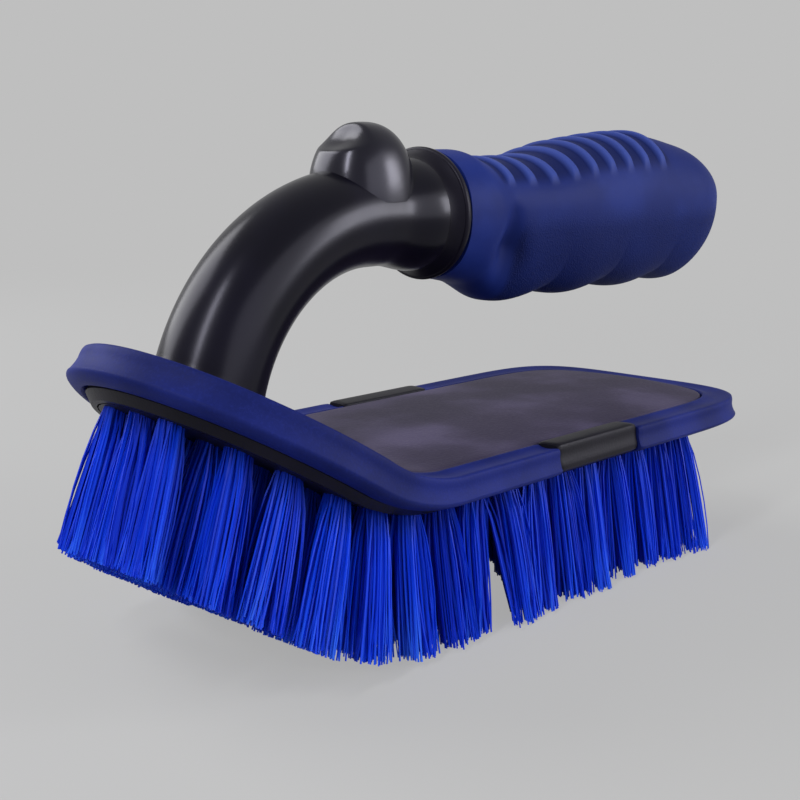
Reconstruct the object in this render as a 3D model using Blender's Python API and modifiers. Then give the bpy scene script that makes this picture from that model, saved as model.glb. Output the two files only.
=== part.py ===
# Carpet brush: a head turned up at the toe, a hooped arm at the toe and a soft grip above the head.
# Lengths are in metres. +X runs from the toe of the head to the end of the grip and +Z is up.
# The bristle tips of the flat part of the head are trimmed at z = 0.

import math
import random

import bmesh
import bpy
import numpy as np
from mathutils import Matrix, Vector

# Clearances
SEAT_GAP = 0.0003          # between pieces that rest on or fit in each other
JOIN_DEPTH = 0.001         # how far shapes of one piece run into each other before they are joined

# Head outline, seen from above before the toe is turned up
HEAD_HALF_WIDTH = 0.0352   # to the outside of the bumpers
HEEL_X = 0.0690            # rear end of the head
HEEL_CURVE = 0.0396        # length over which the heel rounds off
HEEL_SQUARENESS = 4.4      # 2 is an ellipse, more is squarer
TOE_REACH = 0.0645         # from the start of the bend to the tip of the toe, along the head
TOE_CURVE = 0.0432         # length over which the toe rounds off
TOE_SQUARENESS = 2.0

# Turned-up toe
BEND_START_X = -0.0455     # the head is flat behind this line
BEND_RADIUS = 0.0449       # of the underside of the head
BEND_ANGLE = math.radians(32.0)
TOE_THICKENING = 0.16      # how much thicker the head is on the toe, as a share

# Heights above the bristle tips, in the flat part
BRISTLE_LENGTH = 0.0286    # from the trimmed tips to the underside of the block
BLOCK_THICKNESS = 0.0057
BLOCK_SKIRT = 0.0014       # height of the block's sloping edge below the bumpers
BLOCK_SKIRT_WIDTH = 0.0018
COVER_THICKNESS = 0.0017   # at its edge
COVER_CROWN = 0.0009       # how much higher its middle is
CARRIER_THICKNESS = 0.0026

# Bumpers: insets are from the outside of the head, heights from the bumper's underside
BUMPER_HEIGHT = 0.0062
BUMPER_WIDTH = 0.0042      # to the inner face, beside the block
BUMPER_TOP_WIDTH = 0.0070  # to the inner face, beside the cover: the top laps over the block
BUMPER_VALLEY = 0.0004     # depth of the shallow valley along the top
BUMPER_LIP_HEIGHT = 0.0016  # of the lip's outermost line
BUMPER_WAIST = 0.0010      # how far the side is drawn in above the lip
BUMPER_SKIN = 0.0023       # rubber outside the tongue of the block
TONGUE_BASE = 0.0015       # of the tongue's lower face
TONGUE_THICKNESS = 0.0013
SIDE_GAP_FRONT_X = -0.0150  # the front bumper ends here on each side
SIDE_GAP_REAR_X = 0.0140   # the rear bumper starts here
SIDE_LUG_RISE = 0.0007     # how far the block's side lugs stand above the bumpers
SIDE_LUG_SETBACK = 0.0006

# Bristle field
FIELD_MARGIN = 0.0075      # from the outside of the head to the edge of the recess under the block
HEEL_MARGIN = 0.0092       # the same at the heel
ROW_PITCH = 0.0096
TUFT_PITCH = 0.0080
STRANDS_PER_TUFT = 4
STRAND_RADIUS = 0.00085
STRAND_GAP = 0.0001        # least gap between the strands of a tuft at their roots, and to the carrier's edge
TUFT_SPREAD = math.radians(3.4)
SIDE_LEAN = math.radians(10.5)   # of the outermost tufts on each side
TOE_LEAN = math.radians(-10.0)    # of the first row, beyond square to the head
TOE_TRIM = 0.0022          # how much shorter the bristles of the first row are
TRIM_DEPTH = 0.0005        # cut off the tips that stand on the floor

# Arm
ARM_RADIUS = 0.0101        # of its level run
ARM_FOOT_RADIUS = 0.0107
ARM_AXIS_HEIGHT = 0.0824   # of its level run
ARM_BEND_RADIUS = 0.0411   # of its centre line
ARM_BEND_X = -0.0380       # where the bend meets the level run
NECK_START_X = -0.0330
NECK_END_X = -0.0235
NECK_RADIUS = 0.0110
TANG_RADIUS = 0.0080
SPIGOT_RADIUS = 0.0065

# Screws that hold the arm to the block
SCREW_SPACING = 0.0076
SCREW_RADIUS = 0.00175
SCREW_HEAD_RADIUS = 0.0032
SCREW_HEAD_HEIGHT = 0.0016
SCREW_HEAD_DRAFT = 0.97    # the underside of the head is this much of its radius
SCREW_LENGTH = 0.0150
SCREW_SLOT_WIDTH = 0.0009
SCREW_SLOT_DEPTH = 0.0008
SCREW_SLOT_TURN = 31.0     # degrees, as the screw happens to stand

# Collar between the arm and the grip
COLLAR_RADIUS = 0.0139
COLLAR_LENGTH = 0.0042
COLLAR_ROUNDING = 0.0010
COLLAR_FLARE = 0.0026      # length over which it widens from the neck

# Thumb stop on top of the arm
THUMB_X = -0.0371
THUMB_LENGTH = 0.0218
THUMB_WIDTH = 0.0195
THUMB_RISE = 0.0188        # above the arm's axis
THUMB_SQUARENESS = 2.3
CREASE_RADIUS = 0.0030     # of the groove across its front
CREASE_DEPTH = 0.0010
CREASE_RISE = 0.0140       # of the groove above the arm's axis
THUMB_BASE_RISE = 0.0035   # of the stop's widest level above the arm's axis

# Soft grip: lengths run from its front end unless they are from its rear end
GRIP_LENGTH = 0.1085
GRIP_HALF_WIDTH = 0.0150
GRIP_FRONT_RADIUS = 0.0136
GRIP_TOP_RISE = 0.0167     # highest point of the top above the arm's axis
GRIP_BELLY_DROP = 0.0206   # lowest point of the lobes below the arm's axis
GRIP_END_CURVE = 0.0200    # length over which the end rounds off
GRIP_END_COVER = 0.0233    # rubber beyond the tang
GRIP_FACETS = 28           # round its section
GRIP_LAST_TURN = 82.6      # degrees of the last ring on the rounded end, 90 at the very end
LIP_LENGTH = 0.0065        # of the flange at the front
LIP_ROUNDING = 0.0003      # how far its top is drawn in
SCOOP_START = 0.0130       # hollow for the thumb behind the flange
SCOOP_END = 0.0260
SCOOP_DEPTH = 0.0023
TOP_START = 0.0445         # the top has risen nearly to its full height here
TOP_START_DROP = 0.0022
TOP_PEAK = 0.0727
TOP_TAIL = 0.0174          # from the rear end to where the top falls
TOP_TAIL_DROP = 0.0026
TOP_END_DROP = 0.0060
BELLY_START = 0.0096
BELLY_START_RISE = 0.0050  # above the lobes
BELLY_SHOULDER = 0.0048    # before the first lobe's middle
BELLY_SHOULDER_RISE = 0.0005
BELLY_TAIL = 0.0239        # from the rear end
BELLY_TURN = 0.0109        # from the rear end
BELLY_TURN_RISE = 0.0022
BELLY_END_RISE = 0.0080
FLARE_X = 0.0087           # where the front is widest
FLARE_WIDTH = 0.0005
WAIST_X = 0.0163
WAIST_DEPTH = 0.0007
SIDE_START = 0.0434        # full width from here on
FINGER_LOBES = 4
FINGER_PITCH = 0.02205
FIRST_LOBE = 0.0240        # from the front end of the grip
LOBE_DEPTH = 0.0017
GRIP_SQUARENESS = 2.25
RIB_COUNT = 9
RIB_PITCH = 0.0071
FIRST_RIB = 0.0155         # from the front end of the grip
RIB_HEIGHT = 0.0009
RIB_SHARE = 0.3            # half of a crest's length, as a share of the pitch
RIB_SIDE = 0.35            # ribs end where the cosine of the angle from the top falls to this
RIB_FADE = 0.25            # and reach their full height this much above it

# Worked out from the sizes above
TOE_S = BEND_START_X - TOE_REACH
BEND_CENTRE_Z = BRISTLE_LENGTH + BEND_RADIUS
BLOCK_TOP = BRISTLE_LENGTH + BLOCK_THICKNESS
COVER_BASE = BLOCK_TOP + SEAT_GAP
COVER_EDGE = COVER_BASE + COVER_THICKNESS
COVER_INSET = BUMPER_TOP_WIDTH + SEAT_GAP
PLATE_INSET = BUMPER_WIDTH + SEAT_GAP
BUMPER_BASE = BRISTLE_LENGTH + BLOCK_SKIRT
TONGUE_INSET = BUMPER_SKIN + SEAT_GAP
TONGUE_LOW = BUMPER_BASE + TONGUE_BASE
TONGUE_HIGH = TONGUE_LOW + TONGUE_THICKNESS
CARRIER_BASE = BRISTLE_LENGTH
CARRIER_TOP = CARRIER_BASE + CARRIER_THICKNESS
RECESS_TOP = CARRIER_TOP + SEAT_GAP
CARRIER_INSET = FIELD_MARGIN + SEAT_GAP
# From a tuft's centre to the centre of each strand at the root, and to the edge of its carrier
TUFT_RADIUS = (STRAND_RADIUS + STRAND_GAP / 2) / math.sin(math.pi / STRANDS_PER_TUFT)
TUFT_EDGE = TUFT_RADIUS + STRAND_RADIUS + STRAND_GAP
ARM_FOOT_X = ARM_BEND_X - ARM_BEND_RADIUS
COLLAR_START_X = NECK_END_X + SEAT_GAP
GRIP_START_X = COLLAR_START_X + COLLAR_LENGTH + SEAT_GAP
TANG_END_X = GRIP_START_X + GRIP_LENGTH - GRIP_END_COVER
BORE_RADIUS = TANG_RADIUS + SEAT_GAP


# Scene and materials

def clear_scene():
    for thing in list(bpy.data.objects):
        bpy.data.objects.remove(thing, do_unlink=True)


def new_collection(name):
    group = bpy.data.collections.new(name)
    bpy.context.scene.collection.children.link(group)
    return group


def material(name, colour, roughness, metallic=0.0):
    made = bpy.data.materials.new(name)
    made.use_nodes = True
    shader = made.node_tree.nodes["Principled BSDF"]
    shader.inputs["Base Color"].default_value = (*colour, 1.0)
    shader.inputs["Roughness"].default_value = roughness
    shader.inputs["Metallic"].default_value = metallic
    made.diffuse_color = (*colour, 1.0)
    return made


clear_scene()
BRUSH = new_collection("carpet_brush")
CUTTERS = new_collection("cutters")
MATERIALS = {
    "cover": material("cover_plastic", (0.085, 0.070, 0.110), 0.55),
    "block": material("block_plastic", (0.020, 0.018, 0.028), 0.50),
    "bumper": material("bumper_rubber", (0.020, 0.030, 0.160), 0.55),
    "arm": material("arm_plastic", (0.010, 0.008, 0.022), 0.22),
    "collar": material("collar_plastic", (0.014, 0.012, 0.024), 0.30),
    "grip": material("grip_rubber", (0.018, 0.030, 0.150), 0.65),
    "bristle": material("bristle_nylon", (0.006, 0.020, 0.520), 0.40),
    "steel": material("screw_steel", (0.62, 0.62, 0.64), 0.35, 1.0),
}


def place(thing, name, slot):
    """Puts an object in its collection under its own name, with its own material."""
    thing.name = name
    thing.data.name = name
    for group in list(thing.users_collection):
        group.objects.unlink(thing)
    BRUSH.objects.link(thing)
    thing.data.materials.clear()
    own = MATERIALS[slot].copy()
    own.name = name + "_material"
    thing.data.materials.append(own)
    return thing


def cutter(thing, name):
    """Marks an object as a cutter: a guide that isn't part of the brush."""
    thing.name = name
    for group in list(thing.users_collection):
        group.objects.unlink(thing)
    CUTTERS.objects.link(thing)
    thing.hide_render = True
    thing.display_type = "WIRE"
    return thing


def object_from_mesh(mesh, name):
    thing = bpy.data.objects.new(name, mesh)
    BRUSH.objects.link(thing)
    return thing


def object_from_bmesh(shape, name):
    mesh = bpy.data.meshes.new(name)
    bmesh.ops.recalc_face_normals(shape, faces=shape.faces)
    shape.to_mesh(mesh)
    shape.free()
    return object_from_mesh(mesh, name)


def boolean(thing, other, operation):
    change = thing.modifiers.new(operation.lower() + "_" + other.name, "BOOLEAN")
    change.operation = operation
    change.solver = "EXACT"
    change.object = other
    return change


def shade(thing, angle=35.0):
    thing.data.shade_smooth()
    thing.data.set_sharp_from_angle(angle=math.radians(angle))


# Head: outline, sections and the turned-up toe

def rocker(s, y, h):
    """Takes points of the flat head to the head with its toe turned up.

    s is the distance along the head, which is x behind the bend, and h the height above the tips.
    """
    s, y, h = np.broadcast_arrays(np.asarray(s, float), np.asarray(y, float), np.asarray(h, float))
    run = np.maximum(BEND_START_X - s, 0.0)
    turn = np.minimum(run / BEND_RADIUS, BEND_ANGLE)
    straight = np.maximum(run - BEND_RADIUS * BEND_ANGLE, 0.0)
    h = h + TOE_THICKENING * turn / BEND_ANGLE * np.maximum(h - BRISTLE_LENGTH, 0.0)
    arm = BEND_CENTRE_Z - h
    x = np.where(run > 0, BEND_START_X - arm * np.sin(turn) - straight * np.cos(turn), s)
    z = np.where(run > 0, BEND_CENTRE_Z - arm * np.cos(turn) + straight * np.sin(turn), h)
    return np.stack([x, y, z], axis=-1)


def rocker_turn(s):
    """How far the head is turned up at a distance along it."""
    return min(max((BEND_START_X - s) / BEND_RADIUS, 0.0), BEND_ANGLE)


class Outline:
    """Half of the head's outline from toe to heel, as points that can be moved inwards."""

    def __init__(self, heel_x=HEEL_X, toe_steps=12, heel_steps=9, step=0.0055):
        toe_turn = np.radians(np.linspace(89.0, 0.0, toe_steps + 1))
        heel_turn = np.radians(np.linspace(0.0, 89.0, heel_steps + 1))
        self.toe_centre = TOE_S + TOE_CURVE
        self.heel_centre = heel_x - HEEL_CURVE
        marks = [self.toe_centre, BEND_START_X, SIDE_GAP_FRONT_X, SIDE_GAP_FRONT_X + SEAT_GAP,
                 SIDE_GAP_REAR_X - SEAT_GAP, SIDE_GAP_REAR_X, self.heel_centre]
        marks = sorted(mark for mark in marks if self.toe_centre <= mark <= self.heel_centre)
        sides = []
        for start, end in zip(marks, marks[1:]):
            parts = max(1, round((end - start) / step))
            sides.extend(np.linspace(start, end, parts + 1)[:-1])
        sides = np.array(sides[1:])
        anchor = [np.full(len(toe_turn), self.toe_centre), sides,
                  np.full(len(heel_turn), self.heel_centre)]
        along = [-np.sin(toe_turn) ** (2 / TOE_SQUARENESS), np.zeros(len(sides)),
                 np.sin(heel_turn) ** (2 / HEEL_SQUARENESS)]
        depth = [np.full(len(toe_turn), TOE_CURVE), np.zeros(len(sides)),
                 np.full(len(heel_turn), HEEL_CURVE)]
        across = [np.cos(toe_turn) ** (2 / TOE_SQUARENESS), np.ones(len(sides)),
                  np.cos(heel_turn) ** (2 / HEEL_SQUARENESS)]
        self.anchor = np.concatenate(anchor)
        self.along = np.concatenate(along)
        self.depth = np.concatenate(depth)
        self.across = np.concatenate(across)

    def at(self, inset):
        s = self.anchor + self.along * (self.depth - inset)
        return s, self.across * (HEAD_HALF_WIDTH - inset)


def loft(name, rings):
    """A closed body through rings of equally many points, with a cap at each end."""
    shape = bmesh.new()
    layers = [[shape.verts.new(point) for point in ring] for ring in rings]
    count = len(layers[0])
    for low, high in zip(layers, layers[1:]):
        for i in range(count):
            j = (i + 1) % count
            shape.faces.new((low[i], low[j], high[j], high[i]))
    shape.faces.new(layers[0])
    shape.faces.new(reversed(layers[-1]))
    return object_from_bmesh(shape, name)


def plate(name, levels, crown=0.0, across=1, outline=None):
    """A plate of the head's plan, turned up with the head.

    The levels are insets and heights of its side, from the top down. A crown raises its middle.
    """
    outline = outline or Outline()
    share = np.linspace(-1.0, 1.0, across + 1)
    top_s, top_w = outline.at(levels[0][0])
    shape = bmesh.new()
    top, sides = [], []
    for i, (s, w) in enumerate(zip(top_s, top_w)):
        h = levels[0][1] + crown * (1 - share ** 2) * w / top_w.max()
        row = [shape.verts.new(point) for point in rocker(np.full(across + 1, s), w * share, h)]
        pairs = [(row[0], row[-1])]
        for inset, height in levels[1:]:
            level_s, level_w = (values[i] for values in outline.at(inset))
            pairs.append(tuple(shape.verts.new(rocker(level_s, side * level_w, height))
                               for side in (-1, 1)))
        top.append(row)
        sides.append(pairs)
    for i in range(len(top) - 1):
        for j in range(across):
            shape.faces.new((top[i][j], top[i][j + 1], top[i + 1][j + 1], top[i + 1][j]))
        for k in range(len(levels) - 1):
            for side in (0, 1):
                shape.faces.new((sides[i][k][side], sides[i][k + 1][side],
                                 sides[i + 1][k + 1][side], sides[i + 1][k][side]))
        low, next_low = sides[i][-1], sides[i + 1][-1]
        shape.faces.new((low[0], low[1], next_low[1], next_low[0]))
    for i in (0, -1):
        shape.faces.new([*top[i], sides[i][1][1], sides[i][1][0]])
        for high, low in zip(sides[i][1:], sides[i][2:]):
            shape.faces.new((high[0], high[1], low[1], low[0]))
    return object_from_bmesh(shape, name)


def edge_strip(name, section, first_x, last_x, round_toe):
    """A strip of one section along the head's edge.

    The section is a list of insets and heights. The strip runs round the toe or the heel, or along
    one side only when round_toe is None.
    """
    outline = Outline()
    reach = outline.at(0.0)[0]
    keep = (reach >= first_x - 1e-6) & (reach <= last_x + 1e-6)
    order = np.nonzero(keep)[0]
    insets = np.array([point[0] for point in section])
    heights = np.array([point[1] for point in section])

    def ring(i, side):
        s = outline.anchor[i] + outline.along[i] * (outline.depth[i] - insets)
        w = outline.across[i] * (HEAD_HALF_WIDTH - insets)
        return rocker(s, side * w, heights)

    if round_toe is None:
        rings = [ring(i, -1) for i in order]
    elif round_toe:
        rings = [ring(i, -1) for i in order[::-1]] + [ring(i, 1) for i in order]
    else:
        rings = [ring(i, -1) for i in order] + [ring(i, 1) for i in order[::-1]]
    return loft(name, rings)


def bumper_section():
    """Insets and heights round the bumper's section: flared lip, waist, top, flange and groove."""
    base, lip = BUMPER_BASE, BUMPER_BASE + BUMPER_LIP_HEIGHT
    top = BUMPER_BASE + BUMPER_HEIGHT
    soft = BUMPER_LIP_HEIGHT / 2
    waist = (lip + top) / 2
    return [
        (BUMPER_WIDTH, base),
        (BUMPER_SKIN, base),
        (soft * 0.5, lip - soft * 0.9),
        (0.0, lip),
        (soft * 0.3, lip + soft * 0.6),
        (BUMPER_WAIST, waist),
        (BUMPER_WAIST, top - soft),
        (BUMPER_WAIST + soft * 0.4, top - soft * 0.2),
        (BUMPER_WAIST + soft, top),
        ((BUMPER_WAIST + soft + BUMPER_TOP_WIDTH) / 2, top - BUMPER_VALLEY),
        (BUMPER_TOP_WIDTH, top),
        (BUMPER_TOP_WIDTH, BLOCK_TOP + SEAT_GAP),
        (BUMPER_WIDTH, BLOCK_TOP + SEAT_GAP),
        (BUMPER_WIDTH, TONGUE_HIGH + SEAT_GAP),
        (BUMPER_SKIN, TONGUE_HIGH + SEAT_GAP),
        (BUMPER_SKIN, TONGUE_LOW - SEAT_GAP),
        (BUMPER_WIDTH, TONGUE_LOW - SEAT_GAP),
    ]


def lug_section():
    """The same for the block's side lugs, which reach into the block."""
    base, lip = BUMPER_BASE, BUMPER_BASE + BUMPER_LIP_HEIGHT
    top = BUMPER_BASE + BUMPER_HEIGHT + SIDE_LUG_RISE
    soft = BUMPER_LIP_HEIGHT / 2
    edge = SIDE_LUG_SETBACK
    return [
        (PLATE_INSET + JOIN_DEPTH, base + soft / 2),
        (edge + soft * 2, base + soft / 2),
        (edge, lip),
        (edge + BUMPER_WAIST, (lip + top) / 2),
        (edge + BUMPER_WAIST, top - soft),
        (edge + BUMPER_WAIST + soft / 2, top),
        (BUMPER_TOP_WIDTH, top),
        (BUMPER_TOP_WIDTH, BLOCK_TOP - soft / 4),
        (PLATE_INSET + JOIN_DEPTH, BLOCK_TOP - soft / 4),
    ]


FIELD_OUTLINE = Outline(HEEL_X - HEEL_MARGIN + FIELD_MARGIN)


# Places on the turned-up toe

def find_foot_s():
    """Distance along the head at which its top lies under the arm's foot."""
    low, high = TOE_S, BEND_START_X
    for _ in range(60):
        middle = (low + high) / 2
        if rocker(middle, 0.0, COVER_EDGE)[0] < ARM_FOOT_X:
            low = middle
        else:
            high = middle
    return (low + high) / 2


FOOT_S = find_foot_s()
FOOT_TURN = rocker_turn(FOOT_S)
# Along the outward normal of the head at the foot, which leans back towards the heel
FOOT_NORMAL = Vector((math.sin(FOOT_TURN), 0.0, math.cos(FOOT_TURN)))


def foot_point(h, y=0.0):
    return Vector(rocker(FOOT_S, y, h).tolist())


def rod(name, radius, start, end, segments=24):
    """A round bar from one point to another."""
    axis = Vector(end) - Vector(start)
    shape = bmesh.new()
    bmesh.ops.create_cone(
        shape, cap_ends=True, cap_tris=False, segments=segments, radius1=radius,
        radius2=radius, depth=axis.length,
    )
    turn = axis.to_track_quat("Z", "Y").to_matrix().to_4x4()
    middle = Matrix.Translation((Vector(start) + Vector(end)) / 2)
    bmesh.ops.transform(shape, matrix=middle @ turn, verts=shape.verts)
    return object_from_bmesh(shape, name)


def box(name, low, high, matrix=None):
    """A box between two corners, then moved by a matrix."""
    low, high = Vector(low), Vector(high)
    shape = bmesh.new()
    bmesh.ops.create_cube(shape, size=1.0)
    size = Matrix.Diagonal((*(high - low), 1.0))
    bmesh.ops.transform(shape, matrix=Matrix.Translation((low + high) / 2) @ size, verts=shape.verts)
    if matrix is not None:
        bmesh.ops.transform(shape, matrix=matrix, verts=shape.verts)
    return object_from_bmesh(shape, name)


def spun(name, profile, base, direction, segments):
    """A body turned about a line, from a profile of distances along it and radii, first to last."""
    shape = bmesh.new()
    turns = [2 * math.pi * i / segments for i in range(segments)]
    layers = [[shape.verts.new((radius * math.cos(t), radius * math.sin(t), along)) for t in turns]
              for along, radius in profile]
    for low, high in zip(layers, layers[1:]):
        for i in range(segments):
            j = (i + 1) % segments
            shape.faces.new((low[i], low[j], high[j], high[i]))
    shape.faces.new(layers[0])
    shape.faces.new(layers[-1])
    turn = direction.to_track_quat("Z", "Y").to_matrix().to_4x4()
    bmesh.ops.transform(shape, matrix=Matrix.Translation(base) @ turn, verts=shape.verts)
    return object_from_bmesh(shape, name)


# Head pieces

def screw_places():
    """Foot and axis of each of the two screws, which stand side by side across the arm."""
    return [SCREW_SPACING / 2, -SCREW_SPACING / 2]


def turned_hole(y):
    """The countersunk hole of one screw, from below the recess's roof to above the block."""
    profile = [
        (-JOIN_DEPTH, SCREW_HEAD_RADIUS + SEAT_GAP),
        (SEAT_GAP, SCREW_HEAD_RADIUS + SEAT_GAP),
        (SCREW_HEAD_HEIGHT + SEAT_GAP, SCREW_RADIUS + SEAT_GAP),
        (BLOCK_THICKNESS, SCREW_RADIUS + SEAT_GAP),
    ]
    return spun("screw_hole", profile, foot_point(RECESS_TOP, y), FOOT_NORMAL, 16)


def make_block():
    block = plate("head_block", [(PLATE_INSET, BLOCK_TOP), (PLATE_INSET, BUMPER_BASE),
                                 (PLATE_INSET + BLOCK_SKIRT_WIDTH, BRISTLE_LENGTH)])
    tongue = cutter(plate("tongue", [(TONGUE_INSET, TONGUE_HIGH), (TONGUE_INSET, TONGUE_LOW)]),
                    "tongue")
    boolean(block, tongue, "UNION")
    lug = edge_strip("side_lug", lug_section(), SIDE_GAP_FRONT_X + SEAT_GAP,
                     SIDE_GAP_REAR_X - SEAT_GAP, None)
    cutter(lug, "side_lug")
    far = object_from_mesh(lug.data.copy(), "side_lug_far")
    for vertex in far.data.vertices:
        vertex.co.y = -vertex.co.y
    far.data.flip_normals()
    cutter(far, "side_lug_far")
    boolean(block, lug, "UNION")
    boolean(block, far, "UNION")
    recess = plate("recess", [(FIELD_MARGIN, RECESS_TOP), (FIELD_MARGIN, BRISTLE_LENGTH - JOIN_DEPTH)],
                   outline=FIELD_OUTLINE)
    cutter(recess, "recess")
    boolean(block, recess, "DIFFERENCE")
    for index, y in enumerate(screw_places()):
        hole = turned_hole(y)
        boolean(block, cutter(hole, f"screw_hole_{index}"), "DIFFERENCE")
    return place(block, "head_block", "block")


def make_cover():
    cover = plate("head_cover", [(COVER_INSET, COVER_EDGE), (COVER_INSET, COVER_BASE)], COVER_CROWN, 8)
    hole = rod("spigot_hole", SPIGOT_RADIUS + SEAT_GAP, foot_point(BLOCK_TOP),
               foot_point(COVER_EDGE + 4 * COVER_CROWN))
    boolean(cover, cutter(hole, "spigot_hole"), "DIFFERENCE")
    return place(cover, "head_cover", "cover")


def make_bumpers():
    section = bumper_section()
    front = edge_strip("front_bumper", section, TOE_S - JOIN_DEPTH, SIDE_GAP_FRONT_X, True)
    rear = edge_strip("rear_bumper", section, SIDE_GAP_REAR_X, HEEL_X + JOIN_DEPTH, False)
    place(front, "front_bumper", "bumper")
    place(rear, "rear_bumper", "bumper")
    shade(front)
    shade(rear)


# Bristles

def row_bounds():
    """Lines across the head between the carriers of neighbouring rows, from toe to heel."""
    reach = FIELD_OUTLINE.at(CARRIER_INSET)[0]
    rows = round((reach[-1] - reach[0]) / ROW_PITCH)
    return np.linspace(reach[0], reach[-1], rows + 1)


def carrier(name, first, last):
    """A bar of backing across the head, between two lines, turned up with the head."""
    reach, width = FIELD_OUTLINE.at(CARRIER_INSET)
    inner = reach[(reach > first + SEAT_GAP) & (reach < last - SEAT_GAP)]
    columns = np.concatenate([[first], inner, [last]])
    rings = []
    for s in columns:
        w = np.interp(s, reach, width)
        y = np.array([-w, w, w, -w])
        h = np.array([CARRIER_TOP, CARRIER_TOP, CARRIER_BASE, CARRIER_BASE])
        rings.append(rocker(np.full(4, s), y, h))
    return loft(name, rings)


def tuft_places(half_width):
    """Middle of each tuft across a row."""
    reach = half_width - TUFT_EDGE
    count = 2 * int(reach / TUFT_PITCH) + 1
    if count < 3 or reach - (count - 1) / 2 * TUFT_PITCH > TUFT_PITCH * 0.75:
        count += 1
    step = min(TUFT_PITCH, 2 * reach / (count - 1))
    return [(i - (count - 1) / 2) * step for i in range(count)]


def add_strand(shape, root, direction, length, turn):
    """A three-sided strand from its root along a direction."""
    made = bmesh.ops.create_cone(
        shape, cap_ends=True, cap_tris=False, segments=3, radius1=STRAND_RADIUS,
        radius2=STRAND_RADIUS, depth=length,
    )
    spin = Matrix.Rotation(turn, 4, "Z")
    aim = direction.to_track_quat("Z", "Y").to_matrix().to_4x4()
    middle = Matrix.Translation(root + direction * (length / 2))
    bmesh.ops.transform(shape, matrix=middle @ aim @ spin, verts=made["verts"])


def make_row(index, first, last, toe_share, floor):
    """One row of tufts, fused to the bar of backing that carries it."""
    name = f"tuft_row_{index:02d}"
    bar = carrier(name, first + SEAT_GAP / 2, last - SEAT_GAP / 2)
    s = (first + last) / 2
    half_width = np.interp(s, *FIELD_OUTLINE.at(CARRIER_INSET))
    # Local axes: X along the head, Y across it, Z square to it
    middle = Vector(rocker(s, 0.0, CARRIER_BASE).tolist())
    frame = Matrix.Translation(middle) @ Matrix.Rotation(rocker_turn(s), 4, "Y")
    drop = BRISTLE_LENGTH + TRIM_DEPTH - TOE_TRIM * toe_share
    shape = bmesh.new()
    chance = random.Random(100 + index)
    for y in tuft_places(half_width):
        side = math.tan(SIDE_LEAN) * y / (HEAD_HALF_WIDTH - CARRIER_INSET)
        ahead = -math.tan(TOE_LEAN) * toe_share ** 2
        for strand in range(STRANDS_PER_TUFT):
            angle = 2 * math.pi * (strand + 0.5) / STRANDS_PER_TUFT
            out = Vector((math.cos(angle), math.sin(angle), 0.0))
            spread = math.tan(TUFT_SPREAD) * chance.uniform(0.75, 1.0)
            direction = Vector((ahead, side, -1.0)) + out * spread
            root = Vector((0.0, y, JOIN_DEPTH)) + out * TUFT_RADIUS
            length = (drop + JOIN_DEPTH) * direction.length
            add_strand(shape, root, direction.normalized(), length, chance.uniform(0.0, math.pi))
    bmesh.ops.transform(shape, matrix=frame, verts=shape.verts)
    strands = cutter(object_from_bmesh(shape, f"strands_{index:02d}"), f"strands_{index:02d}")
    boolean(bar, strands, "UNION")
    boolean(bar, floor, "DIFFERENCE")
    return place(bar, name, "bristle")


def make_bristles():
    floor = cutter(box("floor", (2 * TOE_S, -3 * HEAD_HALF_WIDTH, -BRISTLE_LENGTH),
                       (2 * HEEL_X, 3 * HEAD_HALF_WIDTH, 0.0)), "floor")
    bounds = row_bounds()
    for index, (first, last) in enumerate(zip(bounds, bounds[1:]), start=1):
        toe_share = max(0.0, 1.0 - 2.0 * (index - 1) / len(bounds))
        make_row(index, first, last, toe_share, floor)


# Arm, screws, collar and thumb stop

def arm_path():
    """Points of the arm's centre line with their radius, from below the foot to the neck."""
    low = foot_point(BRISTLE_LENGTH).z
    centre = Vector((ARM_BEND_X, 0.0, ARM_AXIS_HEIGHT - ARM_BEND_RADIUS))
    points = [(Vector((ARM_FOOT_X, 0.0, low)), ARM_FOOT_RADIUS)]
    steps = 14
    for i in range(steps + 1):
        angle = math.pi / 2 * i / steps
        offset = Vector((-math.cos(angle), 0.0, math.sin(angle))) * ARM_BEND_RADIUS
        points.append((centre + offset, ARM_FOOT_RADIUS + (ARM_RADIUS - ARM_FOOT_RADIUS) * i / steps))
    flare = 4
    for i in range(flare + 1):
        share = i / flare
        x = NECK_START_X + (NECK_END_X - NECK_START_X) * share
        swell = share * share * (3 - 2 * share)
        radius = ARM_RADIUS + (NECK_RADIUS - ARM_RADIUS) * swell
        points.append((Vector((x, 0.0, ARM_AXIS_HEIGHT)), radius))
    return points


def tube(name, points, resolution):
    """A bar of changing radius along points, made a mesh with its caps welded."""
    curve = bpy.data.curves.new(name, "CURVE")
    curve.dimensions = "3D"
    curve.bevel_depth = 1.0
    curve.bevel_resolution = resolution
    curve.use_fill_caps = True
    line = curve.splines.new("POLY")
    line.points.add(len(points) - 1)
    for spot, (place_, radius) in zip(line.points, points):
        spot.co = (*place_, 1.0)
        spot.radius = radius
    guide = bpy.data.objects.new(name, curve)
    BRUSH.objects.link(guide)
    bpy.context.view_layer.update()
    ready = guide.evaluated_get(bpy.context.evaluated_depsgraph_get())
    mesh = bpy.data.meshes.new_from_object(ready)
    bpy.data.objects.remove(guide, do_unlink=True)
    shape = bmesh.new()
    shape.from_mesh(mesh)
    bmesh.ops.remove_doubles(shape, verts=shape.verts, dist=0.00001)
    return object_from_bmesh(shape, name)


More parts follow.
